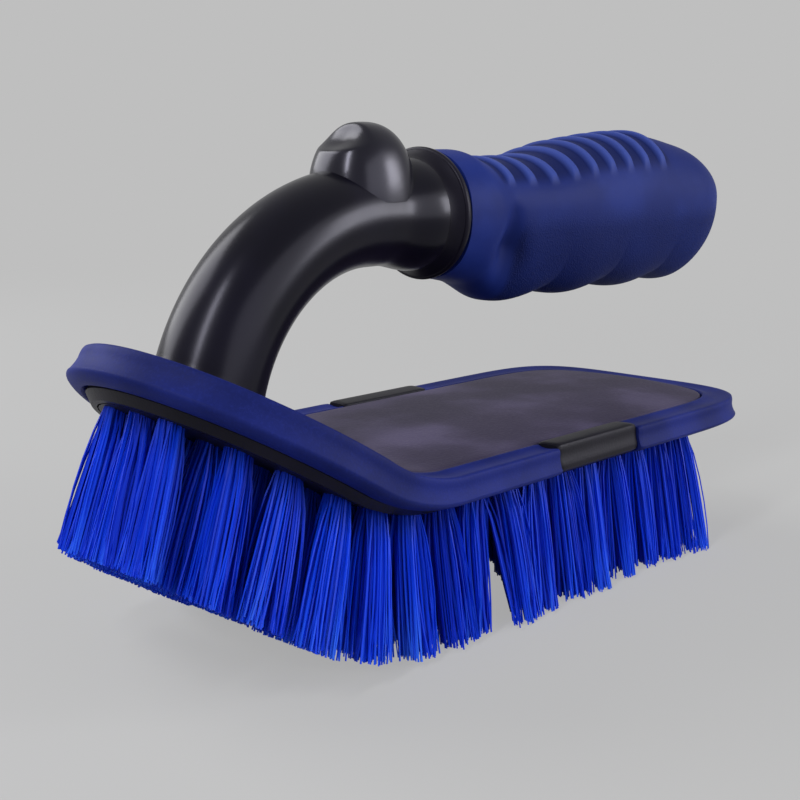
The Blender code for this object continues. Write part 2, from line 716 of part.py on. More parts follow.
def make_arm():
    arm = tube("arm", arm_path(), 8)
    # All that is below the cover's top is cut off, which leaves the sloping foot
    below = plate("below_foot", [(0.0, COVER_EDGE + SEAT_GAP), (0.0, 0.0)], COVER_CROWN, 8)
    boolean(arm, cutter(below, "below_foot"), "DIFFERENCE")
    inside = foot_point(COVER_EDGE + COVER_CROWN) + FOOT_NORMAL * 2 * JOIN_DEPTH
    spigot = rod("spigot", SPIGOT_RADIUS, foot_point(COVER_BASE), inside)
    boolean(arm, cutter(spigot, "spigot"), "UNION")
    tang = rod("tang", TANG_RADIUS, (NECK_END_X - 2 * JOIN_DEPTH, 0.0, ARM_AXIS_HEIGHT),
               (TANG_END_X, 0.0, ARM_AXIS_HEIGHT))
    boolean(arm, cutter(tang, "tang"), "UNION")
    for index, y in enumerate(screw_places()):
        end = foot_point(RECESS_TOP, y) + FOOT_NORMAL * (SCREW_LENGTH + JOIN_DEPTH)
        pilot = rod("pilot", SCREW_RADIUS + SEAT_GAP, foot_point(RECESS_TOP, y), end, segments=16)
        boolean(arm, cutter(pilot, f"pilot_{index}"), "DIFFERENCE")
    place(arm, "arm", "arm")
    shade(arm, 40.0)


def make_screws():
    for index, y in enumerate(screw_places(), start=1):
        base = foot_point(RECESS_TOP, y)
        profile = [
            (0.0, SCREW_HEAD_RADIUS * SCREW_HEAD_DRAFT),
            (SEAT_GAP, SCREW_HEAD_RADIUS),
            (SCREW_HEAD_HEIGHT, SCREW_RADIUS),
            (SCREW_LENGTH - SCREW_RADIUS, SCREW_RADIUS),
            (SCREW_LENGTH, SCREW_RADIUS / 4),
        ]
        screw = spun(f"foot_screw_{index}", profile, base, FOOT_NORMAL, 16)
        turn = Matrix.Translation(base) @ Matrix.Rotation(FOOT_TURN, 4, "Y")
        turn = turn @ Matrix.Rotation(math.radians(SCREW_SLOT_TURN), 4, "Z")
        slot = box("slot", (-SCREW_HEAD_RADIUS * 2, -SCREW_SLOT_WIDTH / 2, -JOIN_DEPTH),
                   (SCREW_HEAD_RADIUS * 2, SCREW_SLOT_WIDTH / 2, SCREW_SLOT_DEPTH), turn)
        boolean(screw, cutter(slot, f"screw_slot_{index}"), "DIFFERENCE")
        place(screw, f"foot_screw_{index}", "steel")


def turned(name, profile, steps):
    """A body turned about the arm's axis, from a profile of distances along it and radii."""
    mesh = bpy.data.meshes.new(name)
    points = [(radius, 0.0, -along) for along, radius in profile]
    edges = [(i, (i + 1) % len(points)) for i in range(len(points))]
    mesh.from_pydata(points, edges, [])
    thing = object_from_mesh(mesh, name)
    spin = thing.modifiers.new("turn", "SCREW")
    spin.steps = steps
    spin.render_steps = steps
    spin.merge_threshold = 0.00001
    spin.use_merge_vertices = True
    spin.use_normal_calculate = True
    thing.rotation_euler = (0.0, -math.pi / 2, 0.0)
    thing.location = (0.0, 0.0, ARM_AXIS_HEIGHT)
    return thing


def make_collar():
    start, end = COLLAR_START_X, COLLAR_START_X + COLLAR_LENGTH
    soft = COLLAR_ROUNDING
    profile = [
        (start, BORE_RADIUS),
        (start, NECK_RADIUS),
        (start + COLLAR_FLARE, COLLAR_RADIUS),
        (end - soft, COLLAR_RADIUS),
        (end, COLLAR_RADIUS - soft / 2),
        (end, BORE_RADIUS),
    ]
    collar = turned("neck_collar", profile, 32)
    place(collar, "neck_collar", "collar")


def make_thumb_stop():
    """A rounded stop with a groove across its front, seated on top of the arm."""
    shape = bmesh.new()
    bmesh.ops.create_uvsphere(shape, u_segments=28, v_segments=18, radius=1.0)
    base = ARM_AXIS_HEIGHT + THUMB_BASE_RISE
    rise = ARM_AXIS_HEIGHT + THUMB_RISE - base
    for vertex in shape.verts:
        co = np.array(vertex.co)
        x, y, z = co / (np.abs(co) ** THUMB_SQUARENESS).sum() ** (1 / THUMB_SQUARENESS)
        vertex.co = (x * THUMB_LENGTH / 2, y * THUMB_WIDTH / 2, z * rise)
    bmesh.ops.transform(shape, matrix=Matrix.Translation((THUMB_X, 0.0, base)), verts=shape.verts)
    stop = object_from_bmesh(shape, "thumb_stop")
    seat = tube("seat", [(spot, radius + SEAT_GAP) for spot, radius in arm_path()], 8)
    boolean(stop, cutter(seat, "thumb_seat"), "DIFFERENCE")
    under = box("under", (THUMB_X - THUMB_LENGTH, -THUMB_WIDTH, base - 2 * rise),
                (THUMB_X + THUMB_LENGTH, THUMB_WIDTH, base + JOIN_DEPTH))
    boolean(stop, cutter(under, "thumb_under"), "DIFFERENCE")
    height = ARM_AXIS_HEIGHT + CREASE_RISE
    share = ((height - base) / rise) ** THUMB_SQUARENESS
    front = THUMB_X - THUMB_LENGTH / 2 * (1 - share) ** (1 / THUMB_SQUARENESS)
    x = front - CREASE_RADIUS + CREASE_DEPTH
    crease = rod("crease", CREASE_RADIUS, (x, -THUMB_WIDTH, height), (x, THUMB_WIDTH, height), 20)
    boolean(stop, cutter(crease, "thumb_crease"), "DIFFERENCE")
    place(stop, "thumb_stop", "collar")
    shade(stop)


# Grip

def smooth_through(points, x):
    """Heights of a smooth line through a few points, by cubic pieces with level-limited slopes."""
    px = np.array([point[0] for point in points])
    pz = np.array([point[1] for point in points])
    steps = np.diff(pz) / np.diff(px)
    slopes = np.zeros(len(px))
    same = steps[1:] * steps[:-1] > 0
    slopes[1:-1][same] = 2 * steps[1:][same] * steps[:-1][same] / (steps[1:] + steps[:-1])[same]
    slopes[0], slopes[-1] = steps[0], steps[-1]
    i = np.clip(np.searchsorted(px, x) - 1, 0, len(px) - 2)
    width = px[i + 1] - px[i]
    t = np.clip((x - px[i]) / width, 0.0, 1.0)
    return ((2 * t ** 3 - 3 * t ** 2 + 1) * pz[i] + (t ** 3 - 2 * t ** 2 + t) * width * slopes[i]
            + (3 * t ** 2 - 2 * t ** 3) * pz[i + 1] + (t ** 3 - t ** 2) * width * slopes[i + 1])


def grip_stations():
    """Distances from the grip's front end: every crest and valley of its ribs, and even steps."""
    marks = {0.0}
    for k in range(RIB_COUNT):
        crest = FIRST_RIB + k * RIB_PITCH
        marks.update((crest - RIB_PITCH / 2, crest - RIB_PITCH / 6, crest + RIB_PITCH / 6))
    ribs_end = FIRST_RIB + (RIB_COUNT - 0.5) * RIB_PITCH
    marks.add(ribs_end)
    marks.update(np.linspace(0.0, FIRST_RIB - RIB_PITCH / 2, 6)[1:-1])
    tail = GRIP_LENGTH - ribs_end
    marks.update(ribs_end + tail * np.sin(np.radians(np.linspace(0.0, GRIP_LAST_TURN, 12)))[1:])
    valleys = [FIRST_LOBE + (k + 0.5) * FINGER_PITCH for k in range(FINGER_LOBES - 1)]
    kept = [mark for mark in marks if min(abs(mark - valley) for valley in valleys) > SEAT_GAP * 3]
    return np.array(sorted([*kept, *valleys]))


def end_rounding(d):
    """1 along the grip, falling to 0 over its rounded end."""
    part = np.clip((d - (GRIP_LENGTH - GRIP_END_CURVE)) / GRIP_END_CURVE, 0.0, 1.0)
    return np.sqrt(np.clip(1.0 - part ** 2, 0.0, 1.0))


def grip_shape(d):
    """Rise of the top, drop of the belly and half width of the grip at a distance along it."""
    top = smooth_through([
        (0.0, GRIP_FRONT_RADIUS - LIP_ROUNDING),
        (LIP_LENGTH, GRIP_FRONT_RADIUS - LIP_ROUNDING),
        (SCOOP_START, GRIP_FRONT_RADIUS - SCOOP_DEPTH),
        (SCOOP_END, GRIP_FRONT_RADIUS - SCOOP_DEPTH),
        (TOP_START, GRIP_TOP_RISE - TOP_START_DROP),
        (TOP_PEAK, GRIP_TOP_RISE),
        (GRIP_LENGTH - TOP_TAIL, GRIP_TOP_RISE - TOP_TAIL_DROP),
        (GRIP_LENGTH, GRIP_TOP_RISE - TOP_END_DROP),
    ], d)
    belly = smooth_through([
        (0.0, GRIP_FRONT_RADIUS),
        (BELLY_START, GRIP_BELLY_DROP - BELLY_START_RISE),
        (FIRST_LOBE - BELLY_SHOULDER, GRIP_BELLY_DROP - BELLY_SHOULDER_RISE),
        (FIRST_LOBE, GRIP_BELLY_DROP),
        (GRIP_LENGTH - BELLY_TAIL, GRIP_BELLY_DROP),
        (GRIP_LENGTH - BELLY_TURN, GRIP_BELLY_DROP - BELLY_TURN_RISE),
        (GRIP_LENGTH, GRIP_BELLY_DROP - BELLY_END_RISE),
    ], d)
    phase = (d - FIRST_LOBE) / FINGER_PITCH
    in_lobes = (phase > 0) & (phase < FINGER_LOBES - 1)
    belly = belly - np.where(in_lobes, LOBE_DEPTH * (1.0 - np.abs(np.cos(math.pi * phase))), 0.0)
    half = smooth_through([
        (0.0, GRIP_FRONT_RADIUS),
        (FLARE_X, GRIP_FRONT_RADIUS + FLARE_WIDTH),
        (WAIST_X, GRIP_FRONT_RADIUS - WAIST_DEPTH),
        (SIDE_START, GRIP_HALF_WIDTH),
        (GRIP_LENGTH, GRIP_HALF_WIDTH),
    ], d)
    fall = end_rounding(d)
    return top * fall, belly * fall, half * fall


def rib_rise(d):
    """1 on a rib's crest and 0 in the valleys."""
    phase = (d - FIRST_RIB) / RIB_PITCH
    on_ribs = (phase > -0.5) & (phase < RIB_COUNT - 0.5)
    return np.where(on_ribs & (np.abs(phase - np.round(phase)) < RIB_SHARE), 1.0, 0.0)


def make_grip():
    angle = np.linspace(0.0, 2 * math.pi, GRIP_FACETS, endpoint=False)
    rings = []
    for d in grip_stations():
        top, belly, half = (value.item() for value in grip_shape(np.array([d])))
        across = np.sign(np.sin(angle)) * np.abs(np.sin(angle)) ** (2 / GRIP_SQUARENESS)
        upward = np.sign(np.cos(angle)) * np.abs(np.cos(angle)) ** (2 / GRIP_SQUARENESS)
        on_top = np.clip((np.cos(angle) - RIB_SIDE) / RIB_FADE, 0.0, 1.0)
        swell = 1.0 + RIB_HEIGHT * float(rib_rise(np.array(d))) * on_top / GRIP_TOP_RISE
        y = half * across * swell
        z = np.where(upward > 0, top, belly) * upward * swell
        x = np.full(GRIP_FACETS, GRIP_START_X + d)
        rings.append(np.stack([x, y, z + ARM_AXIS_HEIGHT], axis=-1))
    grip = loft("grip_sleeve", rings)
    bore = rod("bore", BORE_RADIUS, (GRIP_START_X - JOIN_DEPTH, 0.0, ARM_AXIS_HEIGHT),
               (TANG_END_X + SEAT_GAP, 0.0, ARM_AXIS_HEIGHT))
    boolean(grip, cutter(bore, "bore"), "DIFFERENCE")
    place(grip, "grip_sleeve", "grip")
    shade(grip)


def centre_on_floor():
    """Moves everything so that the middle of the brush's underside is at the origin."""
    bpy.context.view_layer.update()
    graph = bpy.context.evaluated_depsgraph_get()
    corners = [thing.evaluated_get(graph).matrix_world @ Vector(corner)
               for thing in BRUSH.objects for corner in thing.evaluated_get(graph).bound_box]
    low = Vector(min(corner[axis] for corner in corners) for axis in range(3))
    high = Vector(max(corner[axis] for corner in corners) for axis in range(3))
    middle = (low + high) / 2
    shift = Vector((-middle.x, -middle.y, -low.z))
    for thing in [*BRUSH.objects, *CUTTERS.objects]:
        thing.location += shift


make_block()
make_cover()
make_bumpers()
make_bristles()
make_arm()
make_screws()
make_collar()
make_thumb_stop()
make_grip()
centre_on_floor()
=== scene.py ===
# Carpet brush: surfaces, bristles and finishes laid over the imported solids.
# Metres. +X runs from the turned-up toe to the end of the grip and +Z is up.
import math

import bmesh
import bpy
import numpy as np
from mathutils import Euler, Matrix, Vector


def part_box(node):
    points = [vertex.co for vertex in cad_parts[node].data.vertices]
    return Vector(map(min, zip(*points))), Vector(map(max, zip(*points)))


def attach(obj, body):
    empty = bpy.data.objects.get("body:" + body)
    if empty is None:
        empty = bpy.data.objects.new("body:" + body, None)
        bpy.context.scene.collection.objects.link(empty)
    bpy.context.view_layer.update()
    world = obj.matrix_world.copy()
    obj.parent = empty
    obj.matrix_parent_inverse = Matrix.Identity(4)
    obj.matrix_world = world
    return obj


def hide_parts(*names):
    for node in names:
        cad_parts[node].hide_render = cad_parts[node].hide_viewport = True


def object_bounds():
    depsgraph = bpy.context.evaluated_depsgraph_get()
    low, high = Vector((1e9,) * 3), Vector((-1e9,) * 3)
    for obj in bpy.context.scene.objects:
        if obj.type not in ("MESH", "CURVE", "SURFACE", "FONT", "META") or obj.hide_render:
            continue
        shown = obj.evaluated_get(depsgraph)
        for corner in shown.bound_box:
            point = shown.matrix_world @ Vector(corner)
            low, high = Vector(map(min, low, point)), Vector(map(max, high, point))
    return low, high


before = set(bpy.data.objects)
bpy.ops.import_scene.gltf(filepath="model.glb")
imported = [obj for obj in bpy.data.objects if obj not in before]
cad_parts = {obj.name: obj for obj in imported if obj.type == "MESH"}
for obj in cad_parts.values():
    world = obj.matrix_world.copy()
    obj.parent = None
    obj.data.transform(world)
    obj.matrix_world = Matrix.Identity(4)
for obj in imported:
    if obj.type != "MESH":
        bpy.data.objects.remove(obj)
cadLow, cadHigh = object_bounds()
print("frame loaded")


# Shader maths

class Line:
    # One output of a node. Sums and products make their own Math nodes.

    def __init__(self, nodes, socket):
        self.nodes, self.socket = nodes, socket

    def maths(self, operation, first, second):
        return self.nodes.node("ShaderNodeMath", {"operation": operation}, {0: first, 1: second})

    def __add__(self, other):
        return self.maths("ADD", self, other)

    def __radd__(self, other):
        return self.maths("ADD", other, self)

    def __sub__(self, other):
        return self.maths("SUBTRACT", self, other)

    def __rsub__(self, other):
        return self.maths("SUBTRACT", other, self)

    def __mul__(self, other):
        return self.maths("MULTIPLY", self, other)

    def __rmul__(self, other):
        return self.maths("MULTIPLY", other, self)

    def between(self, low, high):
        # 0 below low, 1 above high and a smooth rise between them
        settings = {"interpolation_type": "SMOOTHSTEP"}
        return self.nodes.node("ShaderNodeMapRange", settings, {0: self, 1: low, 2: high})


class Nodes:
    # The nodes of a material or of the world

    def __init__(self, tree):
        self.tree = tree

    def node(self, kind, settings=None, inputs=None, output=0):
        made = self.tree.nodes.new(kind)
        for label, value in (settings or {}).items():
            setattr(made, label, value)
        for label, value in (inputs or {}).items():
            self.feed(made.inputs[label], value)
        return Line(self, made.outputs[output])

    def feed(self, socket, value):
        if isinstance(value, Line):
            self.tree.links.new(value.socket, socket)
        else:
            socket.default_value = value


class Finish(Nodes):
    # A material and the nodes that feed its shader

    def __init__(self, name, **constants):
        self.material = bpy.data.materials.new(name)
        self.material.use_nodes = True
        super().__init__(self.material.node_tree)
        self.shader = self.tree.nodes["Principled BSDF"]
        for label, value in constants.items():
            self.set(label.replace("_", " "), value)

    def set(self, label, value):
        self.feed(self.shader.inputs[label], value)

    def place(self):
        return self.node("ShaderNodeTexCoord", output="Object")

    def attribute(self, name):
        return self.node("ShaderNodeAttribute", {"attribute_name": name}, output="Fac")

    def noise(self, scale, detail=2.0, roughness=0.5, stretch=(1.0, 1.0, 1.0)):
        spot = self.node("ShaderNodeMapping", None, {"Vector": self.place(), "Scale": stretch})
        inputs = {"Vector": spot, "Scale": scale, "Detail": detail, "Roughness": roughness}
        return self.node("ShaderNodeTexNoise", None, inputs)

    def cells(self, scale):
        inputs = {"Vector": self.place(), "Scale": scale}
        return self.node("ShaderNodeTexVoronoi", {"feature": "F1"}, inputs)

    def mix(self, share, first, second):
        inputs = {0: share, 6: first, 7: second}
        return self.node("ShaderNodeMix", {"data_type": "RGBA"}, inputs, output=2)

    def coat(self, look, tone, growth, height):
        # The base colour, the roughness from its least upwards, and the fine relief
        self.set("Base Color", tone)
        self.set("Roughness", look["roughness"] + growth)
        relief = {"Height": height, "Distance": look["relief"]}
        self.set("Normal", self.node("ShaderNodeBump", None, relief))
        return self.material


def colour(red, green, blue):
    # A shade given as it looks on a screen, 0 to 255, turned into the light that it reflects
    parts = np.array([red, green, blue]) / 255.0
    linear = np.where(parts <= 0.04045, parts / 12.92, ((parts + 0.055) / 1.055) ** 2.4)
    return (*linear.tolist(), 1.0)


# Finishes. In each, roughness is the least and uneven is how much it grows with a noise.

def coverFinish():
    # Matt moulded plastic: fine pebbled grain, slow cloudy changes of tone
    look = dict(
        dark=colour(50, 44, 66), light=colour(78, 71, 99), clouds=38.0, cloudSpan=(0.35, 0.65),
        grain=1500.0, pebbles=1200.0, pebbleShare=0.5, relief=0.00009,
        roughness=0.5, uneven=0.2, shine=0.18,
    )
    made = Finish("coverPlasticFinish", Specular_IOR_Level=look["shine"])
    cloud = made.noise(look["clouds"], detail=4.0)
    grain = made.noise(look["grain"], detail=3.0, roughness=0.6)
    tone = made.mix(cloud.between(*look["cloudSpan"]), look["dark"], look["light"])
    height = grain + made.cells(look["pebbles"]) * look["pebbleShare"]
    return made.coat(look, tone, grain * look["uneven"], height)


blackLooks = dict(
    base=dict(shade=colour(16, 15, 22), paler=colour(26, 24, 33), roughness=0.36, uneven=0.18,
              grain=1600.0, relief=0.00005, shine=0.15),
    arm=dict(shade=colour(5, 4, 14), paler=colour(9, 7, 22), roughness=0.20, uneven=0.10,
             grain=900.0, relief=0.000006, shine=0.23),
    stop=dict(shade=colour(6, 5, 16), paler=colour(11, 9, 24), roughness=0.20, uneven=0.10,
              grain=900.0, relief=0.000008, shine=0.45),
    collar=dict(shade=colour(8, 6, 16), paler=colour(15, 12, 26), roughness=0.304, uneven=0.152,
                grain=1100.0, relief=0.00001, shine=0.2),
)
blackPlastic = dict(tint=(0.84, 0.83, 1.0, 1.0), clouds=60.0, cloudSpan=(0.4, 0.7), cloudRelief=2.0)


def blackFinish(part):
    # Moulded black plastic: cloudy tone, a little uneven gloss and a fine grain
    look = dict(blackPlastic, **blackLooks[part])
    made = Finish(f"{part}PlasticFinish", Specular_IOR_Level=look["shine"], Specular_Tint=look["tint"])
    cloud = made.noise(look["clouds"], detail=4.0)
    grain = made.noise(look["grain"], detail=3.0, roughness=0.6)
    tone = made.mix(cloud.between(*look["cloudSpan"]), look["shade"], look["paler"])
    return made.coat(look, tone, cloud * look["uneven"], grain + cloud * look["cloudRelief"])


def rubberFinish():
    # Soft rubber: navy, paler where it is rubbed, with a powdery grain
    look = dict(
        shade=colour(21, 30, 90), paler=colour(36, 48, 132), clouds=45.0, cloudSpan=(0.35, 0.7),
        cloudShare=0.6, grain=1800.0, powderSpan=(0.45, 0.75), powderShare=0.3, relief=0.00005,
        roughness=0.44, uneven=0.2, shine=0.08,
    )
    made = Finish("bumperRubberFinish", Specular_IOR_Level=look["shine"])
    cloud = made.noise(look["clouds"], detail=4.0)
    grain = made.noise(look["grain"], detail=3.0, roughness=0.65)
    powder = grain.between(*look["powderSpan"]) * look["powderShare"]
    pale = cloud.between(*look["cloudSpan"]) * look["cloudShare"] + powder
    tone = made.mix(pale, look["shade"], look["paler"])
    return made.coat(look, tone, grain * look["uneven"], grain)


def gripFinish():
    # The grip's rubber: smooth flange and ribs, and a finely pitted panel on its lower half. The rib
    # crests carry a painted highlight, and the grooves and the hollow carry painted shade
    look = dict(
        shade=colour(18, 34, 102), paler=colour(28, 46, 122), crestHighlight=colour(66, 84, 164),
        deep=colour(14, 24, 72), clouds=50.0, cloudSpan=(0.35, 0.7),
        panelShade=0.6, grooveShade=0.8, crestHighlightShare=0.75,
        grain=2600.0, grainShare=0.3, pits=2300.0, pitSpan=(0.15, 0.55), relief=0.00008,
        roughness=0.46, uneven=0.15, panelRoughness=0.14, shine=0.1,
    )
    made = Finish("gripRubberFinish", Specular_IOR_Level=look["shine"])
    cloud = made.noise(look["clouds"], detail=4.0)
    grain = made.noise(look["grain"], detail=3.0, roughness=0.6)
    panel, crest, groove = (made.attribute(name) for name in ("panel", "crest", "groove"))
    tone = made.mix(cloud.between(*look["cloudSpan"]), look["shade"], look["paler"])
    # Painted shade: darker in the grooves between the ribs and in the hollow behind the flange; the
    # panel is darker in its own tone
    tone = made.mix(panel * look["panelShade"] + groove * look["grooveShade"], tone, look["deep"])
    # Painted highlight: the rib crests are paler
    tone = made.mix(crest * look["crestHighlightShare"], tone, look["crestHighlight"])
    pit = 1.0 - made.cells(look["pits"]).between(*look["pitSpan"])
    growth = grain * look["uneven"] + panel * look["panelRoughness"]
    return made.coat(look, tone, growth, grain * look["grainShare"] + pit * panel)


def bristleFinish():
    # Nylon filaments: each has its own tone, most grow paler towards the tip, and roots are darkened
    # by painted shade
    look = dict(
        deep=colour(8, 47, 202), blue=colour(17, 71, 238), pale=colour(52, 114, 246),
        root=colour(2, 6, 40), toneSpan=(0.0, 0.75), paleShare=0.9, paleSpan=(0.3, 1.0),
        rootSpan=(0.0, 0.3), paintedRootShade=0.4, streaks=420.0, streakStretch=(1.0, 1.0, 0.08),
        relief=0.00002, roughness=0.36, uneven=0.18, shine=0.14,
    )
    made = Finish("bristleNylonFinish", Specular_IOR_Level=look["shine"])
    tone, reach = made.attribute("tone"), made.attribute("reach")
    streak = made.noise(look["streaks"], stretch=look["streakStretch"])
    body = made.mix(tone.between(*look["toneSpan"]), look["deep"], look["blue"])
    body = made.mix((tone * reach * look["paleShare"]).between(*look["paleSpan"]), body, look["pale"])
    # Painted shade: the strands darken towards the root, as if shadowed between the tufts
    clear = reach.between(*look["rootSpan"]) * look["paintedRootShade"] + (1.0 - look["paintedRootShade"])
    tone = made.mix(clear, look["root"], body)
    return made.coat(look, tone, streak * look["uneven"], streak)


def steelFinish():
    # Turned steel with fine streaks
    look = dict(
        dull=colour(178, 178, 182), bright=colour(214, 214, 218), streaks=900.0,
        streakStretch=(1.0, 1.0, 8.0), relief=0.00002, roughness=0.28, uneven=0.2,
    )
    made = Finish("screwSteelFinish", Metallic=1.0)
    streak = made.noise(look["streaks"], detail=3.0, stretch=look["streakStretch"])
    tone = made.mix(streak, look["dull"], look["bright"])
    return made.coat(look, tone, streak * look["uneven"], streak)


finishes = dict(cover=coverFinish(), **{part: blackFinish(part) for part in blackLooks})
finishes.update(bumper=rubberFinish(), grip=gripFinish(), bristle=bristleFinish(), steel=steelFinish())
print("finishes made")


# Meshes

weldWithin = 0.000004
tiny = 1e-9  # for comparing places that should be the same


def wholeTurn(count):
    return np.linspace(0.0, 2 * math.pi, count, endpoint=False)


def gridFaces(rows, columns, wrap):
    # Corner numbers of the quads between neighbouring points of a grid
    index = np.arange(rows * columns).reshape(rows, columns)
    if wrap:
        index = np.hstack([index, index[:, :1]])
    corners = [index[:-1, :-1], index[:-1, 1:], index[1:, 1:], index[1:, :-1]]
    return np.stack(corners, axis=-1).reshape(-1, 4)


def capped(points, wrap=True, ends=True):
    # A grid of points as vertices and faces; a fan of triangles closes each end of a tube
    rows, columns = points.shape[:2]
    vertices = points.reshape(-1, 3)
    faces = gridFaces(rows, columns, wrap).tolist()
    if ends:
        for ring, middle in ((0, rows * columns), ((rows - 1) * columns, rows * columns + 1)):
            start = ring + np.arange(columns)
            fan = np.stack([start, np.roll(start, -1), np.full(columns, middle)], axis=-1)
            faces += fan.tolist()
        vertices = np.vstack([vertices, points[0].mean(axis=0), points[-1].mean(axis=0)])
    return vertices, faces


def together(parts):
    # Several bodies as one set of vertices and faces
    vertices, faces, count = [], [], 0
    for points, corners in parts:
        vertices.append(points)
        faces += [[corner + count for corner in face] for face in corners]
        count += len(points)
    return np.vstack(vertices), faces


def placed(name, data):
    made = bpy.data.objects.new(name, data)
    bpy.context.scene.collection.objects.link(made)
    return made


def makePiece(name, shape, finish, nodes, sharpFrom=40.0, layers=None, weld=True):
    vertices, faces = shape
    mesh = bpy.data.meshes.new(name)
    mesh.from_pydata(vertices, [], faces)
    for label, values in (layers or {}).items():
        layer = mesh.attributes.new(label, "FLOAT", "POINT")
        layer.data.foreach_set("value", np.ascontiguousarray(values, dtype=np.float32).ravel())
    if weld:
        body = bmesh.new()
        body.from_mesh(mesh)
        bmesh.ops.remove_doubles(body, verts=body.verts, dist=weldWithin)
        bmesh.ops.recalc_face_normals(body, faces=body.faces)
        body.to_mesh(mesh)
        body.free()
    mesh.shade_smooth()
    mesh.set_sharp_from_angle(angle=math.radians(sharpFrom))
    mesh.materials.append(finishes[finish])
    piece = placed(name, mesh)
    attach(piece, "root")
    if nodes:
        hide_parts(*nodes)
    print(name, len(mesh.polygons), "faces")


def smoothStep(value, low, high):
    # 3t^2 - 2t^3, where t is the value's share of the way from low to high
    share = np.clip((value - low) / (high - low), 0.0, 1.0)
    return share * share * (3.0 - 2.0 * share)


# Head

head = dict(
    halfWidth=0.0352, heelX=0.0690, heelCurve=0.0396, heelSquareness=4.4,
    toeReach=0.0645, toeCurve=0.0432, toeSquareness=2.0,
    bendX=-0.0455, bendRadius=0.0449, bendAngle=math.radians(32.0), toeThickening=0.16,
    blockBase=0.0286, blockTop=0.0343, gap=0.0003, step=0.0014, samples=4001,
    stripEnds=(0.90, 0.97),  # sizes of a strip's last two sections, as shares
)
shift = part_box("rear_bumper")[1].x - head["heelX"]  # from the places given here to the frame
toeCentre = head["bendX"] - head["toeReach"] + head["toeCurve"]
heelCentre = head["heelX"] - head["heelCurve"]
bendCentreZ = head["blockBase"] + head["bendRadius"]
nearSide = np.array([1.0, 1.0, 1.0, -1.0])[:, None]


def turnUp(s, y, h):
    # A point at s along the flat head and h above the tips. Past the start of the bend it rolls
    # round the bend's centre by its run over the radius, then goes straight on at the full angle,
    # and the head grows thicker with the turn.
    s, y, h = np.broadcast_arrays(np.asarray(s, float), np.asarray(y, float), np.asarray(h, float))
    run = np.maximum(head["bendX"] - s, 0.0)
    turn = np.minimum(run / head["bendRadius"], head["bendAngle"])
    straight = np.maximum(run - head["bendRadius"] * head["bendAngle"], 0.0)
    over = np.maximum(h - head["blockBase"], 0.0)
    reach = bendCentreZ - h - head["toeThickening"] * turn / head["bendAngle"] * over
    x = np.where(run > 0, head["bendX"] - reach * np.sin(turn) - straight * np.cos(turn), s)
    z = np.where(run > 0, bendCentreZ - reach * np.cos(turn) + straight * np.sin(turn), h)
    return np.stack([x + shift, y, z], axis=-1)


def quarter(squareness, length):
    # Quarter of a superellipse, |a|^n + |b|^n = 1, at even steps of its length
    turn = np.linspace(0.0, math.pi / 2, head["samples"])
    a = np.sin(turn) ** (2 / squareness)
    b = np.cos(turn) ** (2 / squareness)
    steps = np.hypot(np.diff(a) * length, np.diff(b) * head["halfWidth"])
    run = np.concatenate([[0.0], np.cumsum(steps)])
    count = int(run[-1] / head["step"]) + 2
    turn = np.interp(np.linspace(0.0, run[-1], count), run, turn)
    b = np.cos(turn) ** (2 / squareness)
    b[-1] = 0.0
    return np.sin(turn) ** (2 / squareness), b


def sideLine(marks=()):
    # One side of the head's edge from toe to heel. A point inset by i lies at
    # anchor + along * (depth - i) along the head and across * (halfWidth - i) to its side.
    step = head["step"]
    toeAlong, toeAcross = quarter(head["toeSquareness"], head["toeCurve"])
    heelAlong, heelAcross = quarter(head["heelSquareness"], head["heelCurve"])
    straight = np.union1d(np.arange(toeCentre + step, heelCentre - step / 2, step), list(marks))
    blank = np.zeros(len(straight))
    toe, heel = np.ones(len(toeAlong)), np.ones(len(heelAlong))
    return np.stack([
        np.concatenate([toeCentre * toe, straight, heelCentre * heel]),
        np.concatenate([-toeAlong[::-1], blank, heelAlong]),
        np.concatenate([head["toeCurve"] * toe, blank, head["heelCurve"] * heel]),
        np.concatenate([toeAcross[::-1], blank + 1.0, heelAcross]),
    ])


def rimPlaces(line, insets):
    anchor, along, depth, across = (values[:, None] for values in line)
    return anchor + along * (depth - insets), across * (head["halfWidth"] - insets)


def plateShape(insets, heights, heelExtra=0.0):
    # A closed plate: a section from the middle of the top over the edge to the middle of the
    # underside, swept round the whole rim. At the heel it is inset by heelExtra more.
    side = sideLine()
    rim = np.hstack([side * nearSide, side[:, -2:0:-1]])
    s, y = rimPlaces(rim, insets + np.maximum(rim[1], 0.0)[:, None] * heelExtra)
    points = turnUp(s, y, heights(s, y) if callable(heights) else heights)
    return capped(np.concatenate([points, points[:1]]), wrap=False, ends=False)


def rounded(points, turns=2):
    # Corner cutting: each edge keeps its middle half, again and again
    points = np.asarray(points, float)
    for _ in range(turns):
        after = np.roll(points, -1, axis=0)
        points = np.stack([points * 0.75 + after * 0.25, points * 0.25 + after * 0.75],
                          axis=1).reshape(-1, 2)
    return points


def stripShape(section, line):
    # A section of insets and heights swept along a line of the rim, drawn in a little at its ends
    middle = section.mean(axis=0)
    full = np.broadcast_to(section, (line.shape[1], *section.shape)).copy()
    for i, share in enumerate(head["stripEnds"]):
        full[i] = full[-1 - i] = middle + (section - middle) * share
    s, y = rimPlaces(line, full[:, :, 0])
    return capped(turnUp(s, y, full[:, :, 1]))


cover = dict(inset=0.0073, base=0.0346, edge=0.0363, crown=0.0009, rounding=0.0006,
             across=22, corner=5, under=4)
coverS, coverW = (values[:, 0] for values in rimPlaces(sideLine(), np.array([cover["inset"]])))


def coverTop(s, y):
    # The top rises from its edge to the middle by crown * (1 - (y / w)^2) * w / widest w
    w = np.maximum(np.interp(s, coverS, coverW), 1e-6)
    rise = np.clip(1.0 - (y / w) ** 2, 0.0, 1.0) * w / coverW.max()
    return cover["edge"] + cover["crown"] * rise


